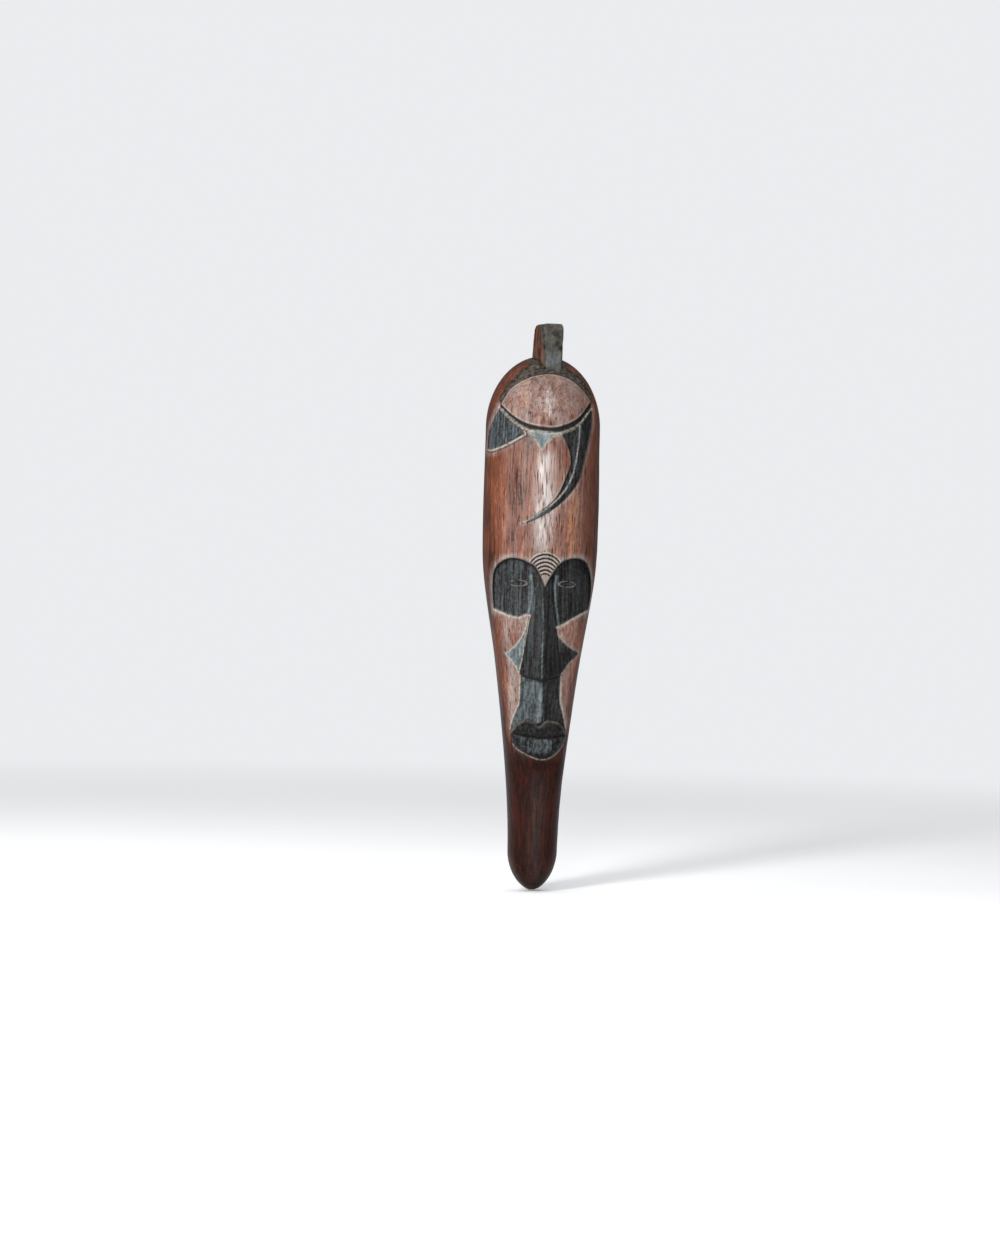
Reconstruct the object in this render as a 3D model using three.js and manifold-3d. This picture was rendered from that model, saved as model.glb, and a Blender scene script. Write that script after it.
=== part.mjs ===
// A tall carved wooden wall mask: one hollowed log with a carved face, a separate crest block pegged on
// its crown, and a folded steel strap with a swinging ring, screwed into a pocket in its back.
// Millimetres, +Z up. The face looks along -Y, the flat back lies in the plane y = 0, +X is the viewer's
// right. Heights are worked out from the chin tip, then lowered so that the origin is the hanging point.

import * as THREE from "three";
import { mergeVertices } from "three/addons/utils/BufferGeometryUtils.js";
import Module from "manifold-3d";

const wasm = await Module();
wasm.setup();

// Carved log
const maskHeight = 948;
const maskWidth = 204;
const maskDepth = 126;
const rimWidth = 20;
const frontWall = 25;
const chinRounding = 0.075;
const crownWidthFrom = 0.865;
const crownDepthFrom = 0.812;
const sectionSteps = 30;
const heightSteps = 40;

// Face, with heights as shares of the mask's height and widths as shares of half its width
const panelDepth = 17;
const noseProjection = 28;
const lipProjection = 10;
const lipRoot = 16;
const upperLip = { up: 0.305, rise: 0.019, reach: 0.49 };
const lowerLip = { up: 0.27, rise: 0.028, reach: 0.47 };
const eyeSlitLength = 18;
const eyeSlitHeight = 3;
const eyeSlitRise = 0.75;
const eyeFloorDepth = 100;
const eyeAcross = 0.415;
const eyeUp = 0.5735;
const noseRoot = 0.612;
const noseTip = 0.399;
const noseRidgeShare = 0.14;
const noseSunk = 14;
const panel = { centre: 0.435, reach: 0.405, foot: 0.516, footBend: 0.006, spring: 0.578, crown: 0.62 };
const panelLeave = 8;

// Hollow in the back
const hollowBottom = 205;
const crownSolid = 112;
const hollowEnd = 70;
const hollowSquareness = 2.4;
const hollowEndShare = 0.35;
const hollowSteps = 18;
const pastBack = 10;

// Crest block and its pegs
const crestRise = 52;
const crestFront = 75;
const crestBack = 9;
const crestLeft = 25;
const crestRight = 29;
const crestSunk = 30;
const pegRadius = 4;
const pegLength = 68;
const pegSpacing = 26;
const pegSetBack = 47;
const pegIntoCrest = 30;

// Hanger in the back of the crown
const wireRadius = 1.5;
const ringHalfWidth = 11;
const ringHeight = 20;
const strapThickness = 1.5;
const strapWidth = 13;
const strapLength = 38;
const foldLength = 13;
const foldClearance = 0.1;
const ringBelowCrown = 50;
const pocketMargin = 5;
const nailRoom = 7;
const hangerInset = 3;

// Hanger screws
const screwRadius = 1.6;
const screwLength = 16;
const screwTip = 4;
const headRadius = 3.3;
const headHeight = 1.8;
const slotWidth = 0.9;
const slotDepth = 0.8;
const screwEndMargin = 7;
const screwSpacing = 11;

const seatGap = 0.3;

const redWood = new THREE.MeshStandardMaterial({ color: 0x6b3a28, roughness: 0.45, metalness: 0 });
const darkWood = new THREE.MeshStandardMaterial({ color: 0x453b2c, roughness: 0.5, metalness: 0 });
const paleWood = new THREE.MeshStandardMaterial({ color: 0xa98355, roughness: 0.7, metalness: 0 });
const zincSteel = new THREE.MeshStandardMaterial({ color: 0x9a9a96, roughness: 0.35, metalness: 1 });
const brassMetal = new THREE.MeshStandardMaterial({ color: 0xa8874a, roughness: 0.35, metalness: 1 });

const halfWidth = maskWidth / 2;

// Smooth curve through [position, value] knots, level at both ends.
function through(knots) {
  const slopes = knots.map((knot, i) => {
    if (i === 0 || i === knots.length - 1) return 0;
    const before = knots[i - 1];
    const after = knots[i + 1];
    return (after[1] - before[1]) / (after[0] - before[0]);
  });
  return (position) => {
    if (position <= knots[0][0]) return knots[0][1];
    if (position >= knots[knots.length - 1][0]) return knots[knots.length - 1][1];
    const i = knots.findIndex((knot) => knot[0] > position) - 1;
    const span = knots[i + 1][0] - knots[i][0];
    const t = (position - knots[i][0]) / span;
    const mix = 3 * t ** 2 - 2 * t ** 3;
    const rise = (1 - mix) * knots[i][1] + mix * knots[i + 1][1];
    return rise + span * ((t ** 3 - 2 * t ** 2 + t) * slopes[i] + (t ** 3 - t ** 2) * slopes[i + 1]);
  };
}

// Shape of the log: [share of height, share of half width, depth or roundness exponent]
const widthShare = through([
  [0.07, 0.43],
  [0.21, 0.495],
  [0.42, 0.72],
  [0.59, 0.965],
  [0.68, 1],
  [0.865, 0.99],
]);
const depthShare = through([
  [0.07, 0.45],
  [0.21, 0.51],
  [0.42, 0.715],
  [0.59, 0.905],
  [0.74, 1],
  [0.81, 1],
]);
const roundness = through([
  [0.1, 2.3],
  [0.33, 3.2],
  [0.5, 2.8],
  [0.66, 2.2],
]);

// Shares left of the width and depth where the chin and the crown close
function chinClose(share, power) {
  const from = Math.max(0, 1 - share / chinRounding);
  return (1 - from ** 2) ** power;
}

function crownClose(share, start) {
  const past = Math.max(0, share - start) / (1 - start);
  return Math.sqrt(Math.max(0, 1 - past ** 2));
}

function widthAt(height) {
  const share = height / maskHeight;
  return halfWidth * widthShare(share) * chinClose(share, 0.6) * crownClose(share, crownWidthFrom);
}

function depthAt(height) {
  const share = height / maskHeight;
  return maskDepth * depthShare(share) * chinClose(share, 0.5) * crownClose(share, crownDepthFrom);
}

// Depth of the log's front at a place beside the centre line, as a distance from the back plane
function frontAt(x, height) {
  const power = roundness(height / maskHeight);
  const side = Math.min(1, Math.abs(x) / widthAt(height));
  return depthAt(height) * (1 - side ** power) ** (1 / power);
}

// Places on the face: shares of half the width and of the height
function place(u, v) {
  return new THREE.Vector2(u * halfWidth, v * maskHeight);
}

function solidOf(geometry) {
  geometry.deleteAttribute("normal");
  geometry.deleteAttribute("uv");
  const merged = mergeVertices(geometry, 1e-4);
  return new wasm.Manifold(
    new wasm.Mesh({
      numProp: 3,
      vertProperties: merged.attributes.position.array,
      triVerts: new Uint32Array(merged.index.array),
    })
  );
}

function geometryOf(solid) {
  const mesh = solid.getMesh();
  const geometry = new THREE.BufferGeometry();
  geometry.setAttribute("position", new THREE.BufferAttribute(mesh.vertProperties.slice(), 3));
  geometry.setIndex(new THREE.BufferAttribute(mesh.triVerts.slice(), 1));
  geometry.computeVertexNormals();
  return geometry;
}

// The largest piece of a cut solid, without the slivers that a cut leaves along a curved edge
function mainPiece(solid) {
  return solid.decompose().reduce((best, piece) => (piece.volume() > best.volume() ? piece : best));
}

// Closed surface through rings of equal size, which run anticlockwise seen from above
function loft(rings) {
  const size = rings[0].length;
  const positions = rings.flat().flatMap((point) => point.toArray());
  const index = [];
  for (let row = 0; row < rings.length - 1; row++) {
    for (let i = 0; i < size; i++) {
      const next = (i + 1) % size;
      const low = row * size;
      const high = low + size;
      index.push(low + i, low + next, high + next, low + i, high + next, high + i);
    }
  }
  const top = (rings.length - 1) * size;
  for (let i = 1; i < size - 1; i++) {
    index.push(0, i + 1, i);
    index.push(top, top + i, top + i + 1);
  }
  const geometry = new THREE.BufferGeometry();
  geometry.setAttribute("position", new THREE.Float32BufferAttribute(positions, 3));
  geometry.setIndex(index);
  return geometry;
}

// D-shaped ring at one height: half its width, how far it reaches forward, and where its straight back is
function logRing(height, side, front, power, back) {
  const ring = [];
  for (let i = 0; i <= sectionSteps; i++) {
    const angle = Math.PI * (i / sectionSteps - 0.5);
    const x = side * Math.sign(angle) * Math.abs(Math.sin(angle)) ** (2 / power);
    const y = -front * Math.max(0, Math.cos(angle)) ** (2 / power);
    ring.push(new THREE.Vector3(x, y, height));
  }
  ring.push(new THREE.Vector3(side, back, height));
  ring.push(new THREE.Vector3(-side, back, height));
  return ring;
}

// The log without its carving, drawn in by an inset on its front, sides and ends
function logSolid(inset) {
  const rings = [];
  for (let i = 0; i <= heightSteps; i++) {
    const eased = 0.5 - 0.5 * Math.cos(Math.PI * (0.012 + (0.976 * i) / heightSteps));
    const mixed = 0.55 * eased + 0.45 * (i / heightSteps) * 0.998 + 0.0005;
    const height = maskHeight * mixed;
    const placed = inset + (height / maskHeight) * (maskHeight - 2 * inset);
    const side = Math.max(0.5, widthAt(height) - inset);
    const front = Math.max(0.5, depthAt(height) - inset);
    rings.push(logRing(placed, side, front, roundness(mixed), 0));
  }
  return solidOf(loft(rings.map((ring) => ring.slice(0, sectionSteps + 1))));
}

// The hollow, which is open at the back
function hollowSolid() {
  const bottom = hollowBottom;
  const top = maskHeight - crownSolid;
  const rings = [];
  for (let i = 0; i <= hollowSteps; i++) {
    const height = bottom + ((top - bottom) * (1 - Math.cos((Math.PI * i) / hollowSteps))) / 2;
    const fromEnd = Math.min(height - bottom, top - height, hollowEnd) / hollowEnd;
    const close = hollowEndShare + (1 - hollowEndShare) * Math.sqrt(1 - (1 - fromEnd) ** 2);
    const side = (widthAt(height) - rimWidth) * close;
    const front = (depthAt(height) - frontWall) * close;
    rings.push(logRing(height, side, front, hollowSquareness, pastBack));
  }
  return solidOf(loft(rings));
}

// A flat shape seen from the front, driven backwards from y = 0 by a depth along -Y
function driven(shape, depth, steps) {
  const geometry = new THREE.ExtrudeGeometry(shape, {
    depth,
    bevelEnabled: false,
    curveSegments: steps,
  });
  return geometry.rotateX(Math.PI / 2);
}

// An outline on the face, driven straight back through the log
function prism(outline) {
  return solidOf(driven(new THREE.Shape(outline), 2 * maskDepth, 8));
}

// Eye panel under one brow arch: cut deep at the brow and running out to the surface at its foot
function eyePanel(side) {
  const centre = panel.centre * side;
  const { reach, foot, footBend, spring, crown } = panel;
  const arch = [];
  const steps = 14;
  for (let i = 0; i <= steps; i++) {
    const angle = (Math.PI * i) / steps;
    arch.push([centre + reach * Math.cos(angle), spring + (crown - spring) * Math.sin(angle)]);
  }
  arch.push([centre - reach, foot + footBend]);
  arch.push([centre, foot]);
  arch.push([centre + reach, foot + footBend]);
  const outline = prism(arch.map(([u, v]) => place(u, v)));
  const footHeight = foot * maskHeight;
  const crownHeight = crown * maskHeight;
  const rings = [];
  const middle = (footHeight + crownHeight) / 2;
  for (const height of [footHeight - panelLeave, footHeight, middle, crownHeight + panelLeave]) {
    const share = (height - footHeight) / (crownHeight - footHeight);
    const cut = panelDepth * Math.min(1.1, Math.max(0, share) ** 0.7);
    const power = roundness(height / maskHeight);
    rings.push(logRing(height, widthAt(height), depthAt(height) - cut, power, 0).slice(0, -2));
  }
  const band = bandBetween(footHeight - panelLeave + 1, crownHeight + panelLeave - 1);
  return outline.subtract(solidOf(loft(rings))).intersect(band);
}

function box(width, depth, height, x, y, z) {
  return solidOf(new THREE.BoxGeometry(width, depth, height).translate(x, y, z));
}

function bandBetween(low, high) {
  return box(2 * maskWidth, 4 * maskDepth, high - low, 0, 0, (low + high) / 2);
}

// The long nose: a wedge whose ridge runs straight down from between the brows
function noseSolid() {
  const rootHeight = noseRoot * maskHeight;
  const tipHeight = noseTip * maskHeight;
  const noseHalf = through([
    [0.4, 0.345],
    [0.44, 0.3],
    [0.505, 0.235],
    [0.57, 0.165],
    [0.612, 0.1],
  ]);
  const steps = 8;
  const rootRidge = frontAt(0, rootHeight);
  const tipRidge = frontAt(0, tipHeight) + noseProjection;
  const rings = [];
  for (let i = 0; i <= steps; i++) {
    const share = i / steps;
    const height = tipHeight + (rootHeight - tipHeight) * share;
    const half = noseHalf(height / maskHeight) * halfWidth;
    const ridge = tipRidge + (rootRidge - tipRidge) * share;
    const foot = frontAt(half, height) - (share > 0.45 ? panelDepth * (share - 0.45) : 1);
    const deep = foot - noseSunk;
    rings.push([
      new THREE.Vector3(-half, -deep, height),
      new THREE.Vector3(-half, -foot, height),
      new THREE.Vector3(-half * noseRidgeShare, -ridge, height),
      new THREE.Vector3(half * noseRidgeShare, -ridge, height),
      new THREE.Vector3(half, -foot, height),
      new THREE.Vector3(half, -deep, height),
    ]);
  }
  return solidOf(loft(rings));
}

// One lip: an egg shape sunk into the front, standing out by the lips' projection
function lipSolid(lip) {
  const height = lip.up * maskHeight;
  const geometry = new THREE.SphereGeometry(1, 24, 12);
  geometry.scale(lip.reach * halfWidth, lipProjection + lipRoot, lip.rise * maskHeight);
  geometry.translate(0, lipRoot - frontAt(0, height), height);
  return solidOf(geometry);
}

// Slit through one eye, which rises on its way in, so that nothing behind the mask shows through it
function eyeSlit(side) {
  const shape = new THREE.Shape();
  shape.absellipse(0, 0, eyeSlitLength / 2, eyeSlitHeight / 2, 0, 2 * Math.PI);
  const geometry = driven(shape, 2 * maskDepth, 8);
  const slant = new THREE.Matrix4().makeShear(0, 0, 0, eyeSlitRise, 0, 0);
  geometry.applyMatrix4(slant);
  geometry.translate(side * eyeAcross * halfWidth, 0, eyeUp * maskHeight + eyeSlitRise * eyeFloorDepth);
  return solidOf(geometry);
}

// Round bar along Z between two heights
function upright(radius, low, high, x, y) {
  const geometry = new THREE.CylinderGeometry(radius, radius, high - low, 20);
  geometry.rotateX(Math.PI / 2).translate(x, y, (low + high) / 2);
  return solidOf(geometry);
}

// Heights and depths of the hanger
const hingeHeight = maskHeight - ringBelowCrown;
const foldRadius = wireRadius + foldClearance + strapThickness;
const pocketDepth = hangerInset + 2 * foldRadius + seatGap;
const strapBack = -(pocketDepth - seatGap);
const hingeDepth = strapBack + foldRadius;
const strapFace = strapBack + strapThickness;
const strapFoot = hingeHeight - strapLength;
const pocketFoot = strapFoot - pocketMargin;
const pocketTop = hingeHeight + ringHeight + wireRadius + nailRoom;
const pocketWidth = 2 * (ringHalfWidth + wireRadius + pocketMargin);
const screwHeights = [strapFoot + screwEndMargin + screwSpacing, strapFoot + screwEndMargin];
const hangHeight = hingeHeight + ringHeight - wireRadius;

function hangerPocket() {
  const height = pocketTop - pocketFoot;
  const radius = pocketMargin;
  const shape = new THREE.Shape();
  const left = -pocketWidth / 2;
  shape.moveTo(left + radius, pocketFoot);
  shape.lineTo(-left - radius, pocketFoot);
  shape.absarc(-left - radius, pocketFoot + radius, radius, -Math.PI / 2, 0, false);
  shape.absarc(-left - radius, pocketFoot + height - radius, radius, 0, Math.PI / 2, false);
  shape.absarc(left + radius, pocketFoot + height - radius, radius, Math.PI / 2, Math.PI, false);
  shape.absarc(left + radius, pocketFoot + radius, radius, Math.PI, 1.5 * Math.PI, false);
  const geometry = driven(shape, 2 * pocketDepth, 4);
  geometry.translate(0, pocketDepth, 0);
  return solidOf(geometry);
}

// Pegs between the crown and the crest
const pegX = (crestRight - crestLeft) / 2;
const pegDepths = [pegSetBack, pegSetBack - pegSpacing];

function pegTop(depth) {
  return crownAt(pegX, depth) + pegIntoCrest;
}

// Height of the crown's surface above a place in plan
function crownAt(x, depth) {
  let low = 0.8 * maskHeight;
  let high = maskHeight;
  for (let i = 0; i < 40; i++) {
    const middle = (low + high) / 2;
    const inside = Math.abs(x) < widthAt(middle) && depth < frontAt(x, middle);
    if (inside) low = middle;
    else high = middle;
  }
  return low;
}

// Crest block, level by level: its left flank is cut at a slant, its right flank runs straight back
function crestSolid() {
  const foot = crownAt(pegX, 0.92 * crestFront) - crestSunk;
  const top = maskHeight + crestRise;
  const rings = [];
  const levels = [0, 0.35, 0.6, 0.8, 0.93, 0.98, 1];
  for (const share of levels) {
    const height = foot + (top - foot) * share;
    const round = share > 0.9 ? 4 * ((share - 0.9) / 0.1) ** 2 : 0;
    const spread = Math.max(0, share - 0.3) / 0.7;
    const frontLeft = -1 - 7 * spread + round;
    const frontRight = crestRight - 4 + 3 * spread - round;
    const left = -crestLeft + 3 * spread + round;
    const right = crestRight - round;
    const front = crestFront - 3 + 3 * spread - round;
    const back = crestBack + 3 * spread + round;
    rings.push(
      [
        [frontLeft, front - 1],
        [frontLeft + 2, front],
        [frontRight - 2, front],
        [frontRight, front - 2],
        [right, (front + back) / 2],
        [right - 1, back + 8],
        [right - 8, back],
        [left + 9, back],
        [left + 1, back + 8],
        [left + 1, back + 16],
      ].map(([x, depth]) => new THREE.Vector3(x, -depth, height))
    );
  }
  return solidOf(loft(rings));
}

// The two bores that hold the pegs, a little wider and longer than they are
function pegBores() {
  const bores = pegDepths.map((depth) => {
    const high = pegTop(depth) + seatGap;
    return upright(pegRadius + seatGap, high - pegLength - 2 * seatGap, high, pegX, -depth);
  });
  return bores[0].add(bores[1]);
}

function bodySolid(log) {
  let body = log;
  for (const side of [-1, 1]) body = body.subtract(eyePanel(side));
  body = body.add(noseSolid());
  body = body.add(lipSolid(upperLip)).add(lipSolid(lowerLip));
  body = body.subtract(hollowSolid());
  for (const side of [-1, 1]) body = body.subtract(eyeSlit(side));
  body = body.subtract(hangerPocket());
  for (const height of screwHeights) body = body.subtract(screwSolid(height, seatGap));
  return mainPiece(body.subtract(pegBores()));
}

function crestFitted() {
  return crestSolid().subtract(logSolid(-seatGap)).subtract(pegBores());
}

// Folded strap: a long leaf on the pocket's floor, a fold round the wire and a short leaf over it
function strapSolid() {
  const short = foldLength;
  const shape = new THREE.Shape();
  shape.moveTo(0, -strapLength);
  shape.lineTo(0, 0);
  shape.absarc(foldRadius, 0, foldRadius, Math.PI, -0.5, true);
  shape.lineTo(2 * strapThickness, -foldRadius - 2);
  shape.lineTo(2 * strapThickness, -short);
  shape.lineTo(strapThickness, -short);
  shape.lineTo(strapThickness, -strapLength);
  shape.closePath();
  const bore = new THREE.Path();
  bore.absarc(foldRadius, 0, wireRadius + foldClearance, 0, 2 * Math.PI, false);
  shape.holes.push(bore);
  const geometry = driven(shape, strapWidth, 12);
  geometry.rotateZ(Math.PI / 2);
  geometry.translate(-strapWidth / 2, 0, 0);
  return geometry;
}

// Closed wire ring in the plane y = 0: a straight bar on the hinge axis and a round bow above it
function ringGeometry() {
  const corner = 2 * wireRadius;
  const bow = ringHeight - ringHalfWidth;
  const path = [];
  const cornerSteps = 4;
  const bowSteps = 18;
  for (let i = 0; i <= cornerSteps; i++) {
    const angle = -Math.PI / 2 + (Math.PI / 2) * (i / cornerSteps);
    path.push([ringHalfWidth - corner + corner * Math.cos(angle), corner + corner * Math.sin(angle)]);
  }
  for (let i = 0; i <= bowSteps; i++) {
    const angle = (Math.PI * i) / bowSteps;
    path.push([ringHalfWidth * Math.cos(angle), bow + ringHalfWidth * Math.sin(angle)]);
  }
  for (let i = 0; i <= cornerSteps; i++) {
    const angle = Math.PI + (Math.PI / 2) * (i / cornerSteps);
    path.push([-ringHalfWidth + corner + corner * Math.cos(angle), corner + corner * Math.sin(angle)]);
  }
  const sides = 10;
  const positions = [];
  const index = [];
  path.forEach(([x, z], i) => {
    const before = path[(i + path.length - 1) % path.length];
    const after = path[(i + 1) % path.length];
    const tangent = new THREE.Vector2(after[0] - before[0], after[1] - before[1]).normalize();
    for (let k = 0; k < sides; k++) {
      const angle = (2 * Math.PI * k) / sides;
      const out = wireRadius * Math.cos(angle);
      positions.push(x + tangent.y * out, wireRadius * Math.sin(angle), z - tangent.x * out);
      const next = (i + 1) % path.length;
      const turn = (k + 1) % sides;
      index.push(i * sides + k, next * sides + turn, next * sides + k);
      index.push(i * sides + k, i * sides + turn, next * sides + turn);
    }
  });
  const geometry = new THREE.BufferGeometry();
  geometry.setAttribute("position", new THREE.Float32BufferAttribute(positions, 3));
  geometry.setIndex(index);
  return geometry;
}

// Wood screw along Y, driven from the strap's face into the crown; grow gives the hole that holds it
function screwSolid(height, grow) {
  const seat = grow > 0 ? grow : 0;
  const profile = [
    new THREE.Vector2(0, -screwLength - seat),
    new THREE.Vector2(screwRadius * 0.3 + seat, -screwLength - seat),
    new THREE.Vector2(screwRadius + seat, -screwLength + screwTip),
    new THREE.Vector2(screwRadius + seat, 0),
    new THREE.Vector2(headRadius + seat, 0),
    new THREE.Vector2(headRadius + seat, headHeight * 0.4),
    new THREE.Vector2(headRadius * 0.8 + seat, headHeight * 0.85),
    new THREE.Vector2(headRadius * 0.45, headHeight),
    new THREE.Vector2(0, headHeight),
  ];
  const geometry = new THREE.LatheGeometry(profile, 20);
  geometry.translate(0, strapFace + seatGap, height);
  return solidOf(geometry);
}

function slottedScrew(height) {
  const face = strapFace + seatGap + headHeight;
  const slot = box(3 * headRadius, 2 * slotDepth, slotWidth, 0, face, height);
  return screwSolid(height, 0).subtract(slot);
}

const mask = new THREE.Group();
mask.position.z = -hangHeight;

function add(name, geometry, material) {
  const mesh = new THREE.Mesh(geometry, material);
  mesh.name = name;
  mask.add(mesh);
  return mesh;
}

add("mask_body", geometryOf(bodySolid(logSolid(0))), redWood);
add("crest_block", geometryOf(crestFitted()), darkWood);

["crest_peg_front", "crest_peg_rear"].forEach((name, i) => {
  const high = pegTop(pegDepths[i]);
  const peg = new THREE.CylinderGeometry(pegRadius, pegRadius, pegLength, 20).rotateX(Math.PI / 2);
  add(name, peg, paleWood).position.set(pegX, -pegDepths[i], high - pegLength / 2);
});

let strap = solidOf(strapSolid().translate(0, strapBack, hingeHeight));
for (const height of screwHeights) strap = strap.subtract(screwSolid(height, seatGap));
add("hanger_strap", geometryOf(strap), zincSteel);

add("hanger_ring", ringGeometry(), zincSteel).position.set(0, hingeDepth, hingeHeight);

["hanger_screw_upper", "hanger_screw_lower"].forEach((name, i) => {
  add(name, geometryOf(slottedScrew(screwHeights[i])), brassMetal);
});

export default mask;
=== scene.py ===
import math

import bmesh
import bpy
import numpy as np
from mathutils import Matrix, Vector, noise
from mathutils.geometry import delaunay_2d_cdt
from mathutils.kdtree import KDTree


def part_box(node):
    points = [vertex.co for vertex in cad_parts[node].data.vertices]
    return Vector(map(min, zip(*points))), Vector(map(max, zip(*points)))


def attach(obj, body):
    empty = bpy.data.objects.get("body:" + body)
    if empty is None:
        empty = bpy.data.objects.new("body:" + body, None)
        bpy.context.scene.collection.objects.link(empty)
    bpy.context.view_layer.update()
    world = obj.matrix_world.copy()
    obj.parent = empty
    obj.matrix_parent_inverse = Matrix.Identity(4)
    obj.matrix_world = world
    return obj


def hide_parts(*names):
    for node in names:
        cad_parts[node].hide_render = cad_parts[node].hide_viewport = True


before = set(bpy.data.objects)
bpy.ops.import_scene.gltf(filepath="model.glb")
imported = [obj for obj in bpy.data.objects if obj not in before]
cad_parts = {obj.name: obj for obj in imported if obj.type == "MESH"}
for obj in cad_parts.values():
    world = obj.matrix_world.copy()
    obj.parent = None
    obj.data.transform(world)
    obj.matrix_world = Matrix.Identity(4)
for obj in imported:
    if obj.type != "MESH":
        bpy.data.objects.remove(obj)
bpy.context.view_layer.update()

mm = 0.001
bodyLow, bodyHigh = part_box("mask_body")
pegNodes = ("crest_peg_front", "crest_peg_rear")
screwNodes = ("hanger_screw_upper", "hanger_screw_lower")

cameraLook = {"lens": 85, "sensor": 36, "azimuth": -3.6, "elevation": 0.5, "roll": 1.45,
              "frameHeight": 2.192, "aimX": -0.0705, "aimUp": 0.469}
studioLook = {"key": 105, "front": 30, "side": 18, "fill": 3, "top": 230, "world": 0.24,
              "backdrop": 0.86, "fade": (1.4, 4.2),
              "floorLow": (0.86, 0.86, 0.865), "floorHigh": (0.91, 0.91, 0.91)}
backdropTint = (0.965, 0.975, 1.0)


# Camera, lights and floor

def aimAt(thing, target, roll=0.0):
    direction = Vector(target) - thing.location
    turn = direction.to_track_quat("-Z", "Y").to_matrix().to_4x4()
    thing.rotation_euler = (turn @ Matrix.Rotation(math.radians(roll), 4, "Z")).to_euler()


def makeCamera(look):
    data = bpy.data.cameras.new("camera")
    data.lens = look["lens"]
    data.sensor_width = look["sensor"]
    camera = bpy.data.objects.new("camera", data)
    bpy.context.scene.collection.objects.link(camera)
    distance = look["frameHeight"] * look["lens"] / look["sensor"]
    azimuth, elevation = math.radians(look["azimuth"]), math.radians(look["elevation"])
    back = Vector((math.sin(azimuth) * math.cos(elevation), -math.cos(azimuth) * math.cos(elevation),
                   math.sin(elevation)))
    right = Vector((math.cos(azimuth), math.sin(azimuth), 0))
    target = right * look["aimX"] + Vector((0, -0.06, bodyLow.z + look["aimUp"]))
    camera.location = target + back * distance
    aimAt(camera, target, look["roll"])
    bpy.context.scene.camera = camera


def makeLight(name, energy, size, place, target, tint):
    data = bpy.data.lights.new(name, "AREA")
    data.energy = energy
    data.shape = "RECTANGLE"
    data.size, data.size_y = size
    data.color = tint
    light = bpy.data.objects.new(name, data)
    bpy.context.scene.collection.objects.link(light)
    light.location = place
    aimAt(light, target)


def makeStudio(look):
    foot = bodyLow.z
    middle = (0, -0.06, foot + 0.5)
    makeLight("key", look["key"], (0.5, 2.2), (-1.5, -2.5, foot + 1.6), middle, (1, 0.985, 0.96))
    makeLight("front", look["front"], (0.26, 1.5), (-0.5, -3.4, foot + 0.95), middle, (1, 1, 1))
    makeLight("side", look["side"], (0.7, 1.8), (-2.4, -0.8, foot + 0.9), middle, (0.86, 0.93, 1))
    makeLight("fill", look["fill"], (1.8, 1.8), (2.3, -2.2, foot + 0.9), middle, (1, 0.97, 0.94))
    makeLight("top", look["top"], (7, 7), (0, 0, foot + 5), (0, 0.001, foot), (0.96, 0.98, 1))
    world = bpy.data.worlds.new("studio")
    world.use_nodes = True
    graph = Graph(world.node_tree)
    seen = graph.node("ShaderNodeLightPath", out="Is Camera Ray")
    glow = seen * (look["backdrop"] - look["world"]) + look["world"]
    sky = graph.node("ShaderNodeBackground", {}, {"Color": (*backdropTint, 1), "Strength": glow})
    graph.node("ShaderNodeOutputWorld", {}, {"Surface": sky}, out=None)
    bpy.context.scene.world = world
    bpy.context.scene.view_settings.view_transform = "Standard"


# Node graphs as Python

class Wire:
    # An output socket that arithmetic can use
    def __init__(self, graph, socket):
        self.graph, self.socket = graph, socket

    def math(self, operation, *others):
        return self.graph.node("ShaderNodeMath", {"operation": operation}, dict(enumerate((self, *others))))

    def __add__(self, other):
        return self.math("ADD", other)

    def __sub__(self, other):
        return self.math("SUBTRACT", other)

    def __rsub__(self, other):
        return self.math("MULTIPLY", -1.0).math("ADD", other)

    def __mul__(self, other):
        return self.math("MULTIPLY", other)

    __radd__ = __add__
    __rmul__ = __mul__

    def clamped(self):
        return self.graph.node("ShaderNodeClamp", {}, {"Value": self})

    def between(self, low, high):
        return self.graph.node("ShaderNodeMapRange", {"interpolation_type": "SMOOTHSTEP"},
                               {"Value": self, "From Min": low, "From Max": high})


class Graph:
    def __init__(self, tree, keep=False):
        self.tree = tree
        if not keep:
            tree.nodes.clear()

    def node(self, kind, settings=None, inputs=None, out=0):
        made = self.tree.nodes.new(kind)
        for name, value in (settings or {}).items():
            if name == "stops":
                ramp = made.color_ramp
                while len(ramp.elements) < len(value):
                    ramp.elements.new(0.5)
                for element, (place, color) in zip(ramp.elements, value):
                    element.position = place
                    element.color = (*color, 1)
            else:
                setattr(made, name, value)
        for name, value in (inputs or {}).items():
            if isinstance(value, Wire):
                self.tree.links.new(value.socket, made.inputs[name])
            else:
                made.inputs[name].default_value = value
        return None if out is None else Wire(self, made.outputs[out])

    def attribute(self, name):
        return self.node("ShaderNodeAttribute", {"attribute_name": name}, out="Fac")

    def noise(self, place, scale, detail=3.0, rough=0.55, distortion=0.0):
        return self.node("ShaderNodeTexNoise", {}, {"Vector": place, "Scale": scale, "Detail": detail,
                                                    "Roughness": rough, "Distortion": distortion})

    def stretched(self, place, scale):
        return self.node("ShaderNodeMapping", {}, {"Vector": place, "Scale": scale})

    def mix(self, factor, low, high):
        def color(value):
            return value if isinstance(value, Wire) else (*value, 1)
        return self.node("ShaderNodeMix", {"data_type": "RGBA"},
                         {0: factor, 6: color(low), 7: color(high)}, out=2)

    def bump(self, height, strength, distance, under=None):
        inputs = {"Height": height, "Strength": strength, "Distance": distance}
        if under is not None:
            inputs["Normal"] = under
        return self.node("ShaderNodeBump", {}, inputs)


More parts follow.
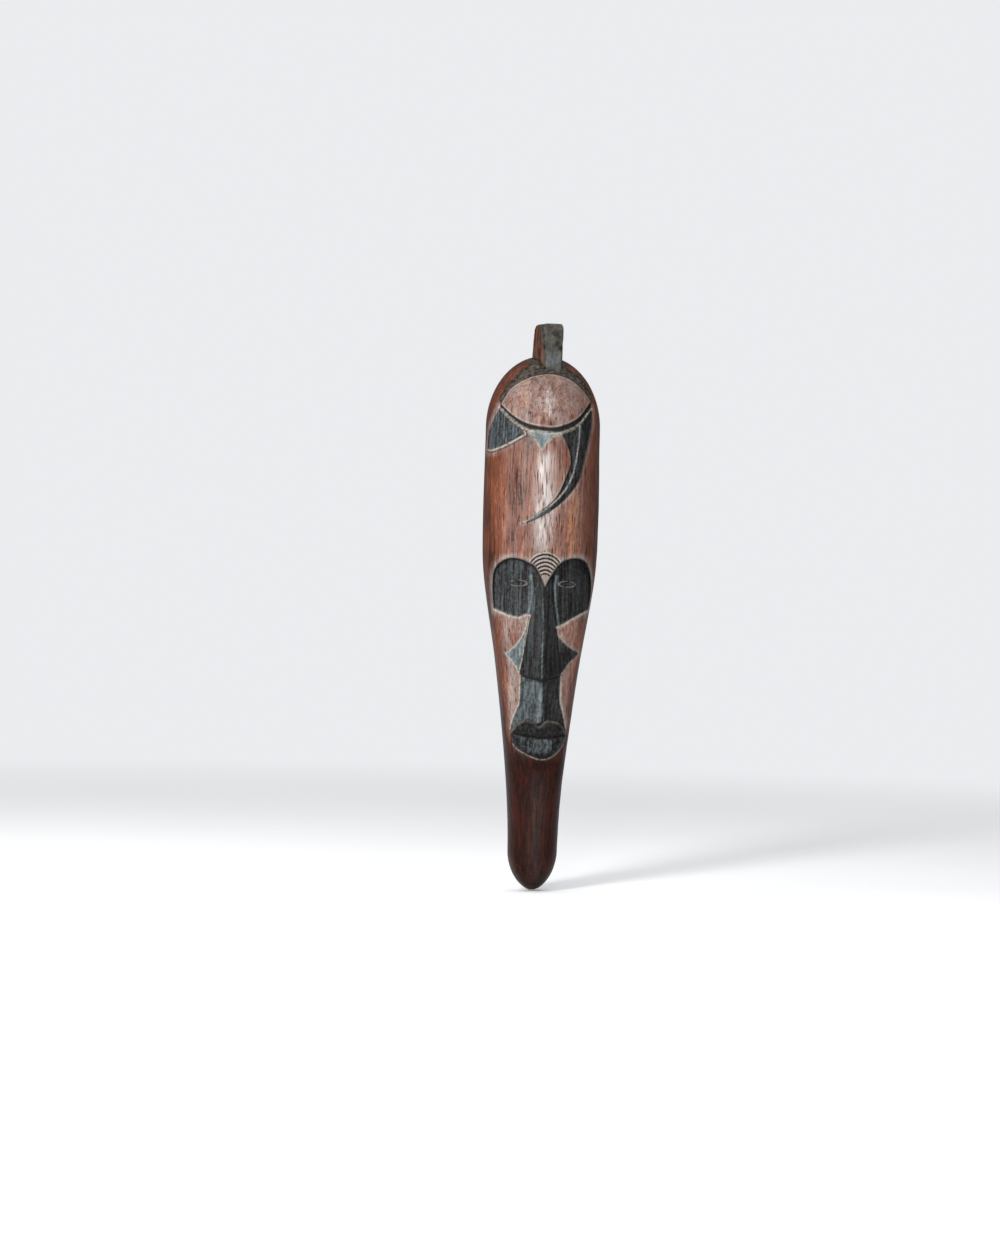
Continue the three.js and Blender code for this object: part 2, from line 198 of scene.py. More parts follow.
def newMaterial(name, paint):
    material = bpy.data.materials.new(name)
    material.use_nodes = True
    graph = Graph(material.node_tree)
    shader = graph.node("ShaderNodeBsdfPrincipled", {}, paint(graph))
    graph.node("ShaderNodeOutputMaterial", {}, {"Surface": shader}, out=None)
    return material


# Finishes

# The blue-grey colour serves a rubbed coat and painted sheen, the shine colour is a painted highlight, the
# dust colour serves dust and painted light, and the cut colour is painted shade in the cuts and under
# overhangs.
woodLook = {"dark": (0.022, 0.0075, 0.005), "red": (0.118, 0.036, 0.019), "orange": (0.27, 0.094, 0.036),
            "dust": (0.262, 0.242, 0.230), "black": (0.0035, 0.0033, 0.0035), "blue": (0.155, 0.190, 0.203),
            "olive": (0.085, 0.077, 0.060), "pale": (0.34, 0.31, 0.265), "shine": (0.54, 0.50, 0.485),
            "chin": (0.029, 0.0055, 0.0030), "chinDark": (0.009, 0.003, 0.0022),
            "cut": (0.014, 0.011, 0.010), "gloss": 0.055}
rawLook = {"low": (0.075, 0.030, 0.016), "middle": (0.21, 0.098, 0.050), "high": (0.37, 0.20, 0.105),
           "pore": (0.05, 0.02, 0.012)}
# On the crest the blue-grey colour is a painted sheen on its front, and the seam colour is painted shade at
# its foot.
crestFinish = {"brown": (0.12, 0.048, 0.028), "light": (0.24, 0.10, 0.05), "stain": (0.007, 0.0065, 0.006),
               "olive": (0.066, 0.061, 0.048), "blue": (0.17, 0.20, 0.215), "seam": (0.012, 0.010, 0.009),
               "gloss": 0.12}
pegFinish = {"dark": (0.30, 0.17, 0.08), "light": (0.55, 0.36, 0.19), "pore": (0.16, 0.08, 0.04)}
metalLook = {"steelDark": (0.20, 0.195, 0.185), "steel": (0.42, 0.41, 0.39), "rust": (0.16, 0.065, 0.030),
             "brass": (0.62, 0.42, 0.16), "tarnish": (0.16, 0.10, 0.05)}


def woodGrain(graph, place):
    # Long streaks, finer fibres and short dark pores, all along the log
    wide = graph.noise(graph.stretched(place, (52, 52, 5.5)), 1.0, 3.0, 0.6, 0.8)
    thin = graph.noise(graph.stretched(place, (170, 170, 15)), 1.0, 3.0, 0.65, 0.5)
    streak = (0.5 + (wide - 0.5) * 1.7 + (thin - 0.5) * 1.5).clamped()
    fibre = graph.noise(graph.stretched(place, (270, 270, 13)), 1.0, 3.0, 0.65)
    pore = graph.noise(graph.stretched(place, (520, 520, 36)), 1.0, 2.0, 0.5).between(0.57, 0.66)
    return streak, fibre, pore


def carvedPaint(graph):
    look = woodLook
    place = graph.node("ShaderNodeTexCoord", out="Object")
    streak, fibre, pore = woodGrain(graph, place)
    cloud = graph.noise(graph.stretched(place, (26, 26, 11)), 1.0, 4.0, 0.65)
    thinDust = graph.noise(graph.stretched(place, (95, 95, 12)), 1.0, 3.0, 0.6)
    mottle = graph.noise(place, 170.0, 4.0, 0.7)
    ragged = (mottle - 0.5) * 0.55
    black = (graph.attribute("black") + ragged * 0.5).between(0.35, 0.62)
    blue = graph.attribute("blue")
    olive = (graph.attribute("olive") + ragged * 0.4).between(0.3, 0.7)
    dust = graph.attribute("dust")
    pale = graph.attribute("pale")
    groove = graph.attribute("groove")
    chin = graph.attribute("chin")
    tone = (streak * 0.55 + (fibre - 0.5) * 1.1 + 0.23 + (cloud - 0.5) * 1.1
            + (mottle - 0.5) * 0.4).clamped()
    stops = [(0.16, look["dark"]), (0.42, look["red"]), (0.60, look["red"]), (0.86, look["orange"])]
    wood = graph.node("ShaderNodeValToRGB", {"stops": stops}, {0: tone})
    wood = graph.mix(chin, wood, graph.mix(tone.between(0.36, 0.74), look["chinDark"], look["chin"]))
    # Dust, with painted light mixed in: heavier on the left half, on the front and down the middle of the
    # forehead.
    dustAndLightAmount = (dust * (0.62 + (mottle - 0.5) * 0.9 + (fibre - 0.5) * 0.9 + (thinDust - 0.5) * 1.7
                      + (cloud - 0.5) * 1.3)).clamped()
    wood = graph.mix(dustAndLightAmount, wood, look["dust"])
    # Painted highlight, broken up by the grain, over the forehead and the lens.
    highlightStreaks = graph.attribute("shine") * (0.52 + (fibre - 0.5) * 2.2 + (thinDust - 0.5) * 2.6)
    wood = graph.mix(highlightStreaks.clamped(), wood, look["shine"])
    wood = graph.mix(pore * 0.75, wood, look["dark"])
    # The blue-grey over the black stain is partly a rubbed coat and partly painted sheen and highlight.
    rubAndSheenAmount = ((0.24 + (fibre - 0.5) * 2.5 + (mottle - 0.5) * 1.6).clamped() * (blue + 0.12)
              + (blue - 0.35).math("MAXIMUM", 0.0) * 0.70).clamped()
    stain = graph.mix(rubAndSheenAmount, look["black"], look["blue"])
    wood = graph.mix(olive * 0.9, wood, graph.mix(mottle.between(0.35, 0.68), look["black"], look["olive"]))
    wood = graph.mix(black * 0.97, wood, stain)
    # Painted shade in the cuts and under overhangs.
    wood = graph.mix((groove * (0.55 + mottle * 0.5)).clamped(), wood, look["cut"])
    wood = graph.mix((pale * mottle.between(0.30, 0.56)).clamped(), wood, look["pale"])
    rough = 0.30 + dustAndLightAmount * 0.16 + mottle * 0.16 - black * 0.02 + groove * 0.1
    grain = graph.bump(fibre * 0.6 + streak * 0.5 - pore * 0.5, 0.5, 0.0013)
    bump = graph.bump(mottle, 0.25, 0.0010, grain)
    return {"Base Color": wood, "Roughness": rough, "Normal": bump, "Specular IOR Level": look["gloss"]}


def rawPaint(graph):
    # Unfinished wood of the hollow and the rim, browned by age
    look = rawLook
    place = graph.node("ShaderNodeTexCoord", out="Object")
    streak, fibre, pore = woodGrain(graph, place)
    cloud = graph.noise(graph.stretched(place, (22, 22, 9)), 1.0, 4.0, 0.6)
    tone = (streak * 0.6 + fibre * 0.3 + cloud * 0.2 - 0.08).clamped()
    stops = [(0.25, look["low"]), (0.5, look["middle"]), (0.78, look["high"])]
    wood = graph.node("ShaderNodeValToRGB", {"stops": stops}, {0: tone})
    wood = graph.mix(pore * 0.6, wood, look["pore"])
    bump = graph.bump(fibre * 0.7 + streak * 0.4 - pore * 0.6, 0.5, 0.0012)
    return {"Base Color": wood, "Roughness": 0.62 + fibre * 0.2, "Normal": bump}


def crestPaint(graph):
    look = {**woodLook, **crestFinish}
    place = graph.node("ShaderNodeTexCoord", out="Object")
    streak, fibre, pore = woodGrain(graph, place)
    mottle = graph.noise(place, 70.0, 4.0, 0.6)
    tone = (streak * 0.7 + fibre * 0.4 - 0.1).clamped()
    stops = [(0.3, look["dark"]), (0.6, look["brown"]), (0.8, look["light"])]
    brown = graph.node("ShaderNodeValToRGB", {"stops": stops}, {0: tone})
    front = (graph.attribute("front") + (mottle - 0.5) * 0.5).between(0.35, 0.65)
    stain = graph.mix(mottle.between(0.30, 0.74), look["stain"], look["olive"])
    # Painted sheen on the faces that look forward.
    stain = graph.mix((graph.attribute("blue") * (0.4 + mottle)).clamped(), stain, look["blue"])
    wood = graph.mix(front, brown, stain)
    wood = graph.mix(pore * 0.5, wood, look["black"])
    # Painted shade along the foot of the crest.
    wood = graph.mix((graph.attribute("groove") * 0.9).clamped(), wood, look["seam"])
    worn = graph.attribute("pale") * mottle.between(0.3, 0.6) * 0.7
    wood = graph.mix(worn.clamped(), wood, look["pale"])
    bump = graph.bump(fibre * 0.5 + streak * 0.5, 0.3, 0.001, graph.bump(mottle, 0.3, 0.0012))
    return {"Base Color": wood, "Roughness": 0.36 + mottle * 0.22, "Normal": bump,
            "Specular IOR Level": look["gloss"]}


def pegPaint(graph):
    place = graph.node("ShaderNodeTexCoord", out="Object")
    streak, fibre, pore = woodGrain(graph, place)
    wood = graph.mix((streak * 0.7 + fibre * 0.3).clamped(), pegFinish["dark"], pegFinish["light"])
    return {"Base Color": graph.mix(pore * 0.5, wood, pegFinish["pore"]), "Roughness": 0.55 + fibre * 0.2,
            "Normal": graph.bump(fibre, 0.4, 0.0006)}


def steelPaint(graph):
    place = graph.node("ShaderNodeTexCoord", out="Object")
    mottle = graph.noise(place, 420.0, 4.0, 0.6)
    scratch = graph.noise(graph.stretched(place, (2600, 900, 260)), 1.0, 2.0, 0.5)
    rust = graph.noise(place, 160.0, 5.0, 0.7).between(0.58, 0.70)
    steel = graph.mix(scratch, metalLook["steelDark"], metalLook["steel"])
    return {"Base Color": graph.mix(rust * 0.8, steel, metalLook["rust"]), "Metallic": 1.0 - rust * 0.7,
            "Roughness": 0.30 + mottle * 0.22 + rust * 0.3,
            "Normal": graph.bump(mottle + scratch * 0.4, 0.25, 0.0003)}


def brassPaint(graph):
    place = graph.node("ShaderNodeTexCoord", out="Object")
    mottle = graph.noise(place, 600.0, 4.0, 0.6)
    tarnish = graph.noise(place, 300.0, 4.0, 0.65).between(0.45, 0.68)
    return {"Base Color": graph.mix(tarnish, metalLook["brass"], metalLook["tarnish"]),
            "Metallic": 1.0 - tarnish * 0.3, "Roughness": 0.26 + tarnish * 0.35,
            "Normal": graph.bump(mottle, 0.2, 0.0002)}


def floorPaint(graph):
    place = graph.node("ShaderNodeTexCoord", out="Object")
    soft = graph.noise(place, 1.3, 2.0, 0.5)
    return {"Base Color": graph.mix(soft, studioLook["floorLow"], studioLook["floorHigh"]),
            "Roughness": 0.85 + soft * 0.1}


def floorMaterial(look):
    # Near the mask it takes the light, further out it runs into the backdrop without an edge
    material = newMaterial("paleFloor", floorPaint)
    tree = material.node_tree
    graph = Graph(tree, keep=True)
    shader = next(node for node in tree.nodes if node.type == "BSDF_PRINCIPLED")
    end = next(node for node in tree.nodes if node.type == "OUTPUT_MATERIAL")
    lit = Wire(graph, shader.outputs[0])
    away = graph.node("ShaderNodeVectorMath", {"operation": "LENGTH"},
                      {0: graph.node("ShaderNodeTexCoord", out="Object")}, out="Value")
    glow = graph.node("ShaderNodeEmission", {}, {"Color": (*backdropTint, 1), "Strength": look["backdrop"]})
    blend = graph.node("ShaderNodeMixShader", {}, {0: away.between(*look["fade"]), 1: lit, 2: glow})
    tree.links.new(blend.socket, end.inputs["Surface"])
    return material


def makeFloor():
    radius, rings, sides = 14.0, 12, 64
    points = [(0, 0, bodyLow.z)]
    for ring in range(1, rings + 1):
        for side in range(sides):
            turn = 2 * math.pi * side / sides
            away = radius * (ring / rings) ** 1.5
            points.append((away * math.cos(turn), away * math.sin(turn), bodyLow.z))
    faces = [(0, 1 + i, 1 + (i + 1) % sides) for i in range(sides)]
    for ring in range(rings - 1):
        low, high = 1 + ring * sides, 1 + (ring + 1) * sides
        faces += [(low + i, high + i, high + (i + 1) % sides, low + (i + 1) % sides) for i in range(sides)]
    floor = newPiece("floor", points, faces, floorMaterial(studioLook))


# Mesh helpers

def newPiece(name, points, faces, *materials):
    mesh = bpy.data.meshes.new(name)
    mesh.from_pydata([tuple(p) for p in points], [], [tuple(f) for f in faces])
    for material in materials:
        mesh.materials.append(material)
    piece = bpy.data.objects.new(name, mesh)
    bpy.context.scene.collection.objects.link(piece)
    return piece


def settle(piece):
    # The modifiers' result becomes the piece's own mesh
    bpy.context.view_layer.update()
    done = piece.evaluated_get(bpy.context.evaluated_depsgraph_get())
    mesh = bpy.data.meshes.new_from_object(done)
    piece.modifiers.clear()
    piece.data = mesh
    mesh.name = piece.name
    return piece


def discard(piece):
    bpy.data.objects.remove(piece)


def subtract(piece, cutter):
    cut = piece.modifiers.new("cut", "BOOLEAN")
    cut.operation = "DIFFERENCE"
    cut.solver = "MANIFOLD"
    cut.object = cutter
    settle(piece)
    discard(cutter)


def nodeCopy(name, node, *materials):
    # A merged copy of a CAD node's mesh
    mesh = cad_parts[node].data.copy()
    mesh.materials.clear()
    for material in materials:
        mesh.materials.append(material)
    piece = bpy.data.objects.new(name, mesh)
    bpy.context.scene.collection.objects.link(piece)
    outward(piece, 0.01 * mm)
    return piece


def crisp(piece, degrees):
    piece.data.shade_smooth()
    piece.data.set_sharp_from_angle(angle=math.radians(degrees))


def paintPoints(mesh, name, values):
    layer = mesh.attributes.new(name, "FLOAT", "POINT")
    layer.data.foreach_set("value", np.asarray(values, dtype=np.float32))


def sweep(outline, low, high, toPoint):
    # A closed prism from an outline between two levels
    count = len(outline)
    points = [toPoint(a, b, level) for level in (low, high) for a, b in outline]
    faces = [(i, (i + 1) % count, count + (i + 1) % count, count + i) for i in range(count)]
    faces += [tuple(reversed(range(count))), tuple(range(count, 2 * count))]
    return points, faces


def outward(piece, join=0):
    # Faces turned outwards, after points closer than join are merged
    shape = bmesh.new()
    shape.from_mesh(piece.data)
    if join:
        bmesh.ops.remove_doubles(shape, verts=shape.verts, dist=join)
    bmesh.ops.recalc_face_normals(shape, faces=shape.faces)
    shape.to_mesh(piece.data)
    shape.free()


# The log: its width, depth and squareness along the height

def through(knots):
    place, value = np.array(knots, float).T
    slope = np.zeros(len(place))
    slope[1:-1] = (value[2:] - value[:-2]) / (place[2:] - place[:-2])

    def curve(position):
        position = np.clip(position, place[0], place[-1])
        i = np.clip(np.searchsorted(place, position, side="right") - 1, 0, len(place) - 2)
        span = place[i + 1] - place[i]
        t = (position - place[i]) / span
        rise = value[i] + (value[i + 1] - value[i]) * (3 * t ** 2 - 2 * t ** 3)
        return rise + span * ((t ** 3 - 2 * t ** 2 + t) * slope[i] + (t ** 3 - t ** 2) * slope[i + 1])
    return curve


log = {
    "height": (bodyHigh.z - bodyLow.z) / mm,
    "half": (bodyHigh.x - bodyLow.x) / 2 / mm,
    "depth": 126.0,
    "widths": through([(0.07, 0.43), (0.21, 0.495), (0.42, 0.72), (0.59, 0.965), (0.68, 1), (0.865, 0.99)]),
    "depths": through([(0.07, 0.45), (0.21, 0.51), (0.42, 0.715), (0.59, 0.905), (0.74, 1), (0.81, 1)]),
    "squareness": through([(0.1, 2.3), (0.33, 3.2), (0.5, 2.8), (0.66, 2.2)]),
    "chin": 0.075, "crownWidth": 0.865, "crownDepth": 0.812,     # where the two ends start to close
    "spread": 108,          # millimetres of sheet to a radian where the log is widest
    "rim": 2.6,             # rounding of the back edge
}
chinZ = bodyLow.z / mm
drawnHeight, drawnHalf = 948.0, 102.0      # the size that the outlines below are drawn at


def chinClose(share, power):
    return (1 - np.maximum(0, 1 - share / log["chin"]) ** 2) ** power


def crownClose(share, start):
    return np.sqrt(np.maximum(0, 1 - (np.maximum(0, share - start) / (1 - start)) ** 2))


def widthAt(z):
    share = z / log["height"]
    half = log["half"] * log["widths"](share)
    return half * chinClose(share, 0.6) * crownClose(share, log["crownWidth"])


def depthAt(z):
    share = z / log["height"]
    depth = log["depth"] * log["depths"](share)
    return depth * chinClose(share, 0.5) * crownClose(share, log["crownDepth"])


def spreadAt(z):
    # Width of one radian of the sheet that wraps the log
    size = (widthAt(z) ** 2 + depthAt(z) ** 2) / (log["half"] ** 2 + log["depth"] ** 2)
    return log["spread"] * np.sqrt(size)


def wrap(wide, z):
    # From the flat sheet to the log: x, how far forward, z
    spread = np.maximum(spreadAt(z), 1e-6)
    angle = np.clip(wide / spread, -math.pi / 2, math.pi / 2)
    power = log["squareness"](z / log["height"])
    sine, cosine = np.sin(angle), np.maximum(np.cos(angle), 0)
    reach = (np.abs(sine) ** power + cosine ** power) ** (-1 / power)
    return np.stack([widthAt(z) * reach * sine, depthAt(z) * reach * cosine, z], axis=1)


def unroll(points):
    # From places seen from the front to the flat sheet
    points = np.array(points, float) * (log["half"] / drawnHalf, log["height"] / drawnHeight)
    x, z = points.T
    power = log["squareness"](z / log["height"])
    side = np.clip(np.abs(x) / widthAt(z), 1e-4, 0.996)
    angle = np.arctan((side ** -power - 1) ** (-1 / power))
    return np.stack([np.sign(x) * angle * spreadAt(z), z], axis=1)


def smooth(points, step=1.6):
    points = np.array(points, float)
    if len(points) == 2:
        count = max(1, int(np.linalg.norm(points[1] - points[0]) / step))
        return points[0] + (points[1] - points[0]) * np.linspace(0, 1, count + 1)[:, None]
    padded = np.vstack([2 * points[0] - points[1], points, 2 * points[-1] - points[-2]])
    out = []
    for i in range(len(points) - 1):
        a, b, c, d = padded[i:i + 4]
        count = max(1, int(np.linalg.norm(c - b) / step))
        t = (np.arange(count) / count)[:, None]
        out.append(0.5 * (2 * b + (c - a) * t + (2 * a - 5 * b + 4 * c - d) * t ** 2
                          + (3 * b - a - 3 * c + d) * t ** 3))
    out.append(points[-1:])
    return np.vstack(out)


# Strokes of the carving, as (across, above the chin) in millimetres seen from the front

strokes = {
    "lensTop": [(-79.8, 856), (-61.6, 885), (-30, 904), (8, 911), (41, 902), (64, 883), (78, 865)],
    "lensFoot": [(78, 865), (56, 835), (30.5, 820), (4, 814), (-34, 820), (-60, 835), (-79.8, 856)],
    "bandFoot": [(-82, 850), (-62, 828), (-39, 811.5), (-19, 807), (4, 805), (27, 807), (56, 822),
                 (80, 852)],
    "collarEdge": [(-81, 869), (-68, 891), (-52, 909), (-36, 923), (-20, 930), (-3, 929), (24, 928),
                   (40, 920), (57, 909), (69, 895.5), (80.5, 879)],
    "pendantLeft": [(-38, 810.5), (-24, 796), (-10.7, 775)],
    "pendantRight": [(-10.7, 775), (3, 793), (25, 805)],
    "wingFoot": [(-40, 803), (-60, 791), (-80, 781), (-93, 777), (-99, 779)],
    "wingSide": [(-99, 779), (-96, 815), (-82, 850)],
    "hornOuter": [(80, 852), (80, 822), (68, 762), (58, 726), (41, 700), (19, 678), (-4.5, 662),
                  (-24, 652), (-40, 647)],
    "hornInner": [(-40, 647), (-32, 651), (-13, 666), (7, 682), (22.5, 702.5), (36, 736), (41.6, 755),
                  (39, 774), (25, 806)],
    "hornRidge": [(58, 822), (55, 784), (48, 740), (31, 704), (7, 679), (-13, 664.5), (-36, 649)],
    "archLeft": [(-82, 497), (-85, 527), (-85, 557), (-80, 573), (-69, 583), (-56, 587), (-40, 585),
                 (-26, 579), (-16, 573), (-7.5, 560), (-1, 545), (2.3, 537)],
    "archRight": [(2.3, 537), (9, 551), (18.5, 567), (28, 579), (40, 586), (57, 589), (72, 585), (81, 573),
                  (86, 557), (88, 537), (86, 517), (83.6, 499)],
    "panelFootLeft": [(2.3, 489), (-24, 489), (-47, 484), (-82, 497)],
    "panelFootRight": [(83.6, 499), (54, 483), (30, 469), (2.3, 466)],
    "noseLeft": [(-20, 574), (-17, 538), (-20, 505), (-24.5, 477), (-27.7, 447), (-30.5, 417),
                 (-35.6, 388.5)],
    "noseFoot": [(-35.6, 388.5), (-19, 379), (0, 377), (19.6, 380), (34.6, 388.5)],
    "noseRight": [(34.6, 388.5), (30.5, 417), (27.7, 447), (24.5, 477), (20, 505), (17, 538), (20, 574)],
    "diamondTopLeft": [(-25, 487), (-32, 458), (-45, 435), (-61, 420)],
    "diamondFootLeft": [(-61, 420), (-49, 407), (-38, 388)],
    "diamondTopRight": [(27, 455), (46, 438), (69, 423)],
    "diamondFootRight": [(69, 423), (52, 407), (38, 387)],
    "philtrumLeft": [(-34, 388), (-34, 368), (-34, 346), (-35, 331), (-41, 316), (-46, 299), (-48, 283)],
    "philtrumRight": [(50, 285), (46, 303), (42, 320), (37, 338), (36, 368), (36, 388)],
    "lipTop": [(-48, 282), (-40, 294), (-25, 304), (-13, 303), (2, 294), (13, 303), (31, 302), (43, 294),
               (50, 281)],
    "mouth": [(50, 281), (25, 274), (1, 273), (-24, 277), (-48, 282)],
    "lipFoot": [(-48, 282), (-44, 264), (-34, 252), (-12, 241), (6, 236), (24, 240), (42, 255), (49, 268),
                (50, 281)],
}


line = {name: unroll(smooth(points)) for name, points in strokes.items()}
wrinkles = {"top": 568.0, "fall": 3.2, "radius": 33.0, "shrink": 3.5, "across": 2.0, "count": 6,
            "foot": 546}


def wrinkleArc(number):
    look = wrinkles
    radius = look["radius"] - look["shrink"] * number
    turns = np.radians(np.arange(-78, 79, 90 / radius))
    arc = unroll(np.stack([look["across"] + radius * np.sin(turns),
                           look["top"] - look["fall"] * number + radius * np.cos(turns)], axis=1))
    clear = (inside(arc, loops["panelLeft"]) < -1) & (inside(arc, loops["panelRight"]) < -1)
    return arc[clear & (arc[:, 1] > look["foot"])]


def loop(*names):
    # Strokes joined end to end; a name with a minus in front runs backwards
    return np.vstack([line[name[1:]][::-1] if name[0] == "-" else line[name] for name in names])


def stretch(name, start, end):
    # Part of a stroke, between two shares of it
    path = line[name]
    return path[int(start * len(path)):int(end * len(path))]


loops = {
    "lens": loop("lensTop", "lensFoot"),
    "band": loop("bandFoot", "lensFoot"),
    "collar": loop("collarEdge", "-lensTop"),
    "pendant": loop("pendantLeft", "pendantRight"),
    "wing": np.vstack([stretch("bandFoot", 0, 0.25), line["wingFoot"], line["wingSide"]]),
    "horn": np.vstack([line["hornOuter"], line["hornInner"], stretch("bandFoot", 0.68, 1)]),
    "panelLeft": loop("archLeft", "panelFootLeft"),
    "panelRight": loop("archRight", "panelFootRight"),
    "diamondLeft": np.vstack([loop("diamondTopLeft", "diamondFootLeft"),
                              stretch("noseLeft", 0.46, 1)[::-1]]),
    "diamondRight": np.vstack([loop("diamondTopRight", "diamondFootRight"), stretch("noseRight", 0, 0.4)]),
    "philtrum": loop("philtrumLeft", "lipTop", "philtrumRight"),
    "lips": loop("lipTop", "-lipFoot"),
    "lowerLip": loop("mouth", "lipFoot"),
}
reach = 24.0        # how far from an outline its distance is worked out


def fromLine(points, path):
    # Distance of each point from an open path
    result = np.full(len(points), reach)
    low, high = path.min(0) - reach, path.max(0) + reach
    near = np.all((points > low) & (points < high), axis=1)
    p = points[near]
    best = np.full(len(p), reach ** 2)
    for start, end in zip(path[:-1], path[1:]):
        run = end - start
        size = run @ run
        if size > 0:
            t = np.clip((p - start) @ run / size, 0, 1)
            best = np.minimum(best, ((p - start - t[:, None] * run) ** 2).sum(1))
    result[near] = np.sqrt(best)
    return result


def inside(points, ring):
    # Distance within a closed outline, negative outside it
    ring = np.vstack([ring, ring[:1]])
    away = fromLine(points, ring)
    within = np.zeros(len(points), bool)
    for start, end in zip(ring[:-1], ring[1:]):
        if start[1] != end[1]:
            crosses = (start[1] > points[:, 1]) != (end[1] > points[:, 1])
            within ^= crosses & (points[:, 0] < start[0] + (points[:, 1] - start[1])
                                 * (end[0] - start[0]) / (end[1] - start[1]))
    return np.where(within, away, -away)


def ease(value, low, high):
    t = np.clip((value - low) / (high - low), 0, 1)
    return t * t * (3 - 2 * t)


def ridgeOf(distance, width):
    return np.exp(-(distance / width) ** 2)


for number in np.arange(0, wrinkles["count"] + 0.1, 0.5):
    line["wrinkle%g" % number] = wrinkleArc(number)


# Eyelids, as oval outlines on the panels
eyeLook = {"across": 42.3, "up": 543.7, "half": 16.0, "tall": 5.6, "rings": (0.66, 0.8, 0.9, 1.0, 1.16)}


def eyeRing(side, size):
    turns = np.linspace(0, 2 * math.pi, 49)
    across = eyeLook["across"] * side + size * eyeLook["half"] * np.cos(turns)
    return unroll(np.stack([across, eyeLook["up"] + size * eyeLook["tall"] * np.sin(turns)], axis=1))


for side in (-1, 1):
    for size in eyeLook["rings"]:
        line["lid%+d %g" % (side, size)] = eyeRing(side, size)


# The flat sheet of points that becomes the front

sheetLook = {"fine": 1.9, "coarse": 3.4, "near": 6.0, "offsets": (-4.5, -2.4, -1.1, 1.1, 2.4, 4.5),
             "edgeLines": (0.4, 1.0, 1.8, 2.8), "end": 14, "endRows": 15, "rows": 370,
             "cell": 0.75, "room": 0.55, "margin": 3.2}


def edgeRows(look):
    # Heights of the sheet's edge points, closer together at both ends
    end, count = look["end"], look["endRows"]
    ends = end * (np.arange(1, count) / count) ** 2
    middle = np.linspace(end, log["height"] - end, look["rows"])
    return np.concatenate([ends, middle, log["height"] - ends[::-1]])


def sheetPoints(look):
    rows = edgeRows(look)
    limit = spreadAt(rows) * math.pi / 2
    left = np.stack([-limit, rows], axis=1)
    right = np.stack([limit, rows], axis=1)
    border = np.vstack([[[0, 0]], right, [[0, log["height"]]], left[::-1]])
    points = [tuple(p) for p in border]
    edges = [(i, (i + 1) % len(border)) for i in range(len(border))]
    for path in line.values():
        if len(path) < 2:
            continue
        first = len(points)
        points += [tuple(p) for p in path]
        edges += [(first + i, first + i + 1) for i in range(len(path) - 1)]
    guide = KDTree(len(points))
    for i, p in enumerate(points):
        guide.insert((*p, 0), i)
    guide.balance()
    extra = []
    for inset in look["edgeLines"]:
        keep = limit > inset * 3
        for side in (-1, 1):
            extra += [(side * (wide - inset), z) for wide, z in zip(limit[keep], rows[keep])]
    for name, path in line.items():
        if name.startswith(("wrinkle", "lid")):
            continue
        along = np.gradient(path, axis=0)
        across = np.stack([-along[:, 1], along[:, 0]], axis=1)
        across /= np.maximum(np.linalg.norm(across, axis=1, keepdims=True), 1e-9)
        for offset in look["offsets"]:
            for p in path + across * offset:
                if guide.find((*p, 0))[2] > abs(offset) * 0.8:
                    extra.append(tuple(p))
    kept = []
    taken = set()
    for p in extra:
        key = (round(p[0] / look["cell"]), round(p[1] / look["cell"]))
        if key not in taken:
            taken.add(key)
            kept.append(p)
    inner = KDTree(len(kept))
    for i, p in enumerate(kept):
        inner.insert((*p, 0), i)
    inner.balance()
    for pitch, close in ((look["fine"], True), (look["coarse"], False)):
        for row, z in enumerate(np.arange(pitch, log["height"] - 1, pitch * 0.866)):
            edge = float(spreadAt(np.array([z]))[0]) * math.pi / 2 - look["margin"]
            start = -edge + (row % 2) * pitch / 2
            for wide in np.arange(start, edge, pitch):
                away = guide.find((wide, z, 0))[2]
                room = pitch * look["room"]
                if (away < look["near"]) == close and away > room:
                    if inner.find((wide, z, 0))[2] > room:
                        kept.append((wide, z))
    return points + kept, edges, len(border)


def sheetMesh():
    points, edges, borderCount = sheetPoints(sheetLook)
    made = delaunay_2d_cdt([Vector(p) for p in points], edges, [], 0, 1e-4, True)
    flat = np.array([tuple(v) for v in made[0]])
    found = {old: new for new, olds in enumerate(made[3]) for old in olds}
    border = [found[i] for i in range(borderCount)]
    triangles = np.array([f for f in made[2] if len(f) == 3])
    centre = flat[triangles].mean(axis=1)
    rows = edgeRows(sheetLook)
    limit = np.interp(centre[:, 1], rows, spreadAt(rows) * math.pi / 2)
    triangles = triangles[np.abs(centre[:, 0]) < limit - 1e-6]
    a, b, c = (flat[triangles[:, i]] for i in range(3))
    area = (b[:, 0] - a[:, 0]) * (c[:, 1] - a[:, 1]) - (b[:, 1] - a[:, 1]) * (c[:, 0] - a[:, 0])
    triangles = np.where(area[:, None] > 0, triangles, triangles[:, ::-1])
    return flat, triangles[np.abs(area) > 1e-7], border


# Carving: how far each point of the sheet rises along the surface and is pushed forward, and its colours

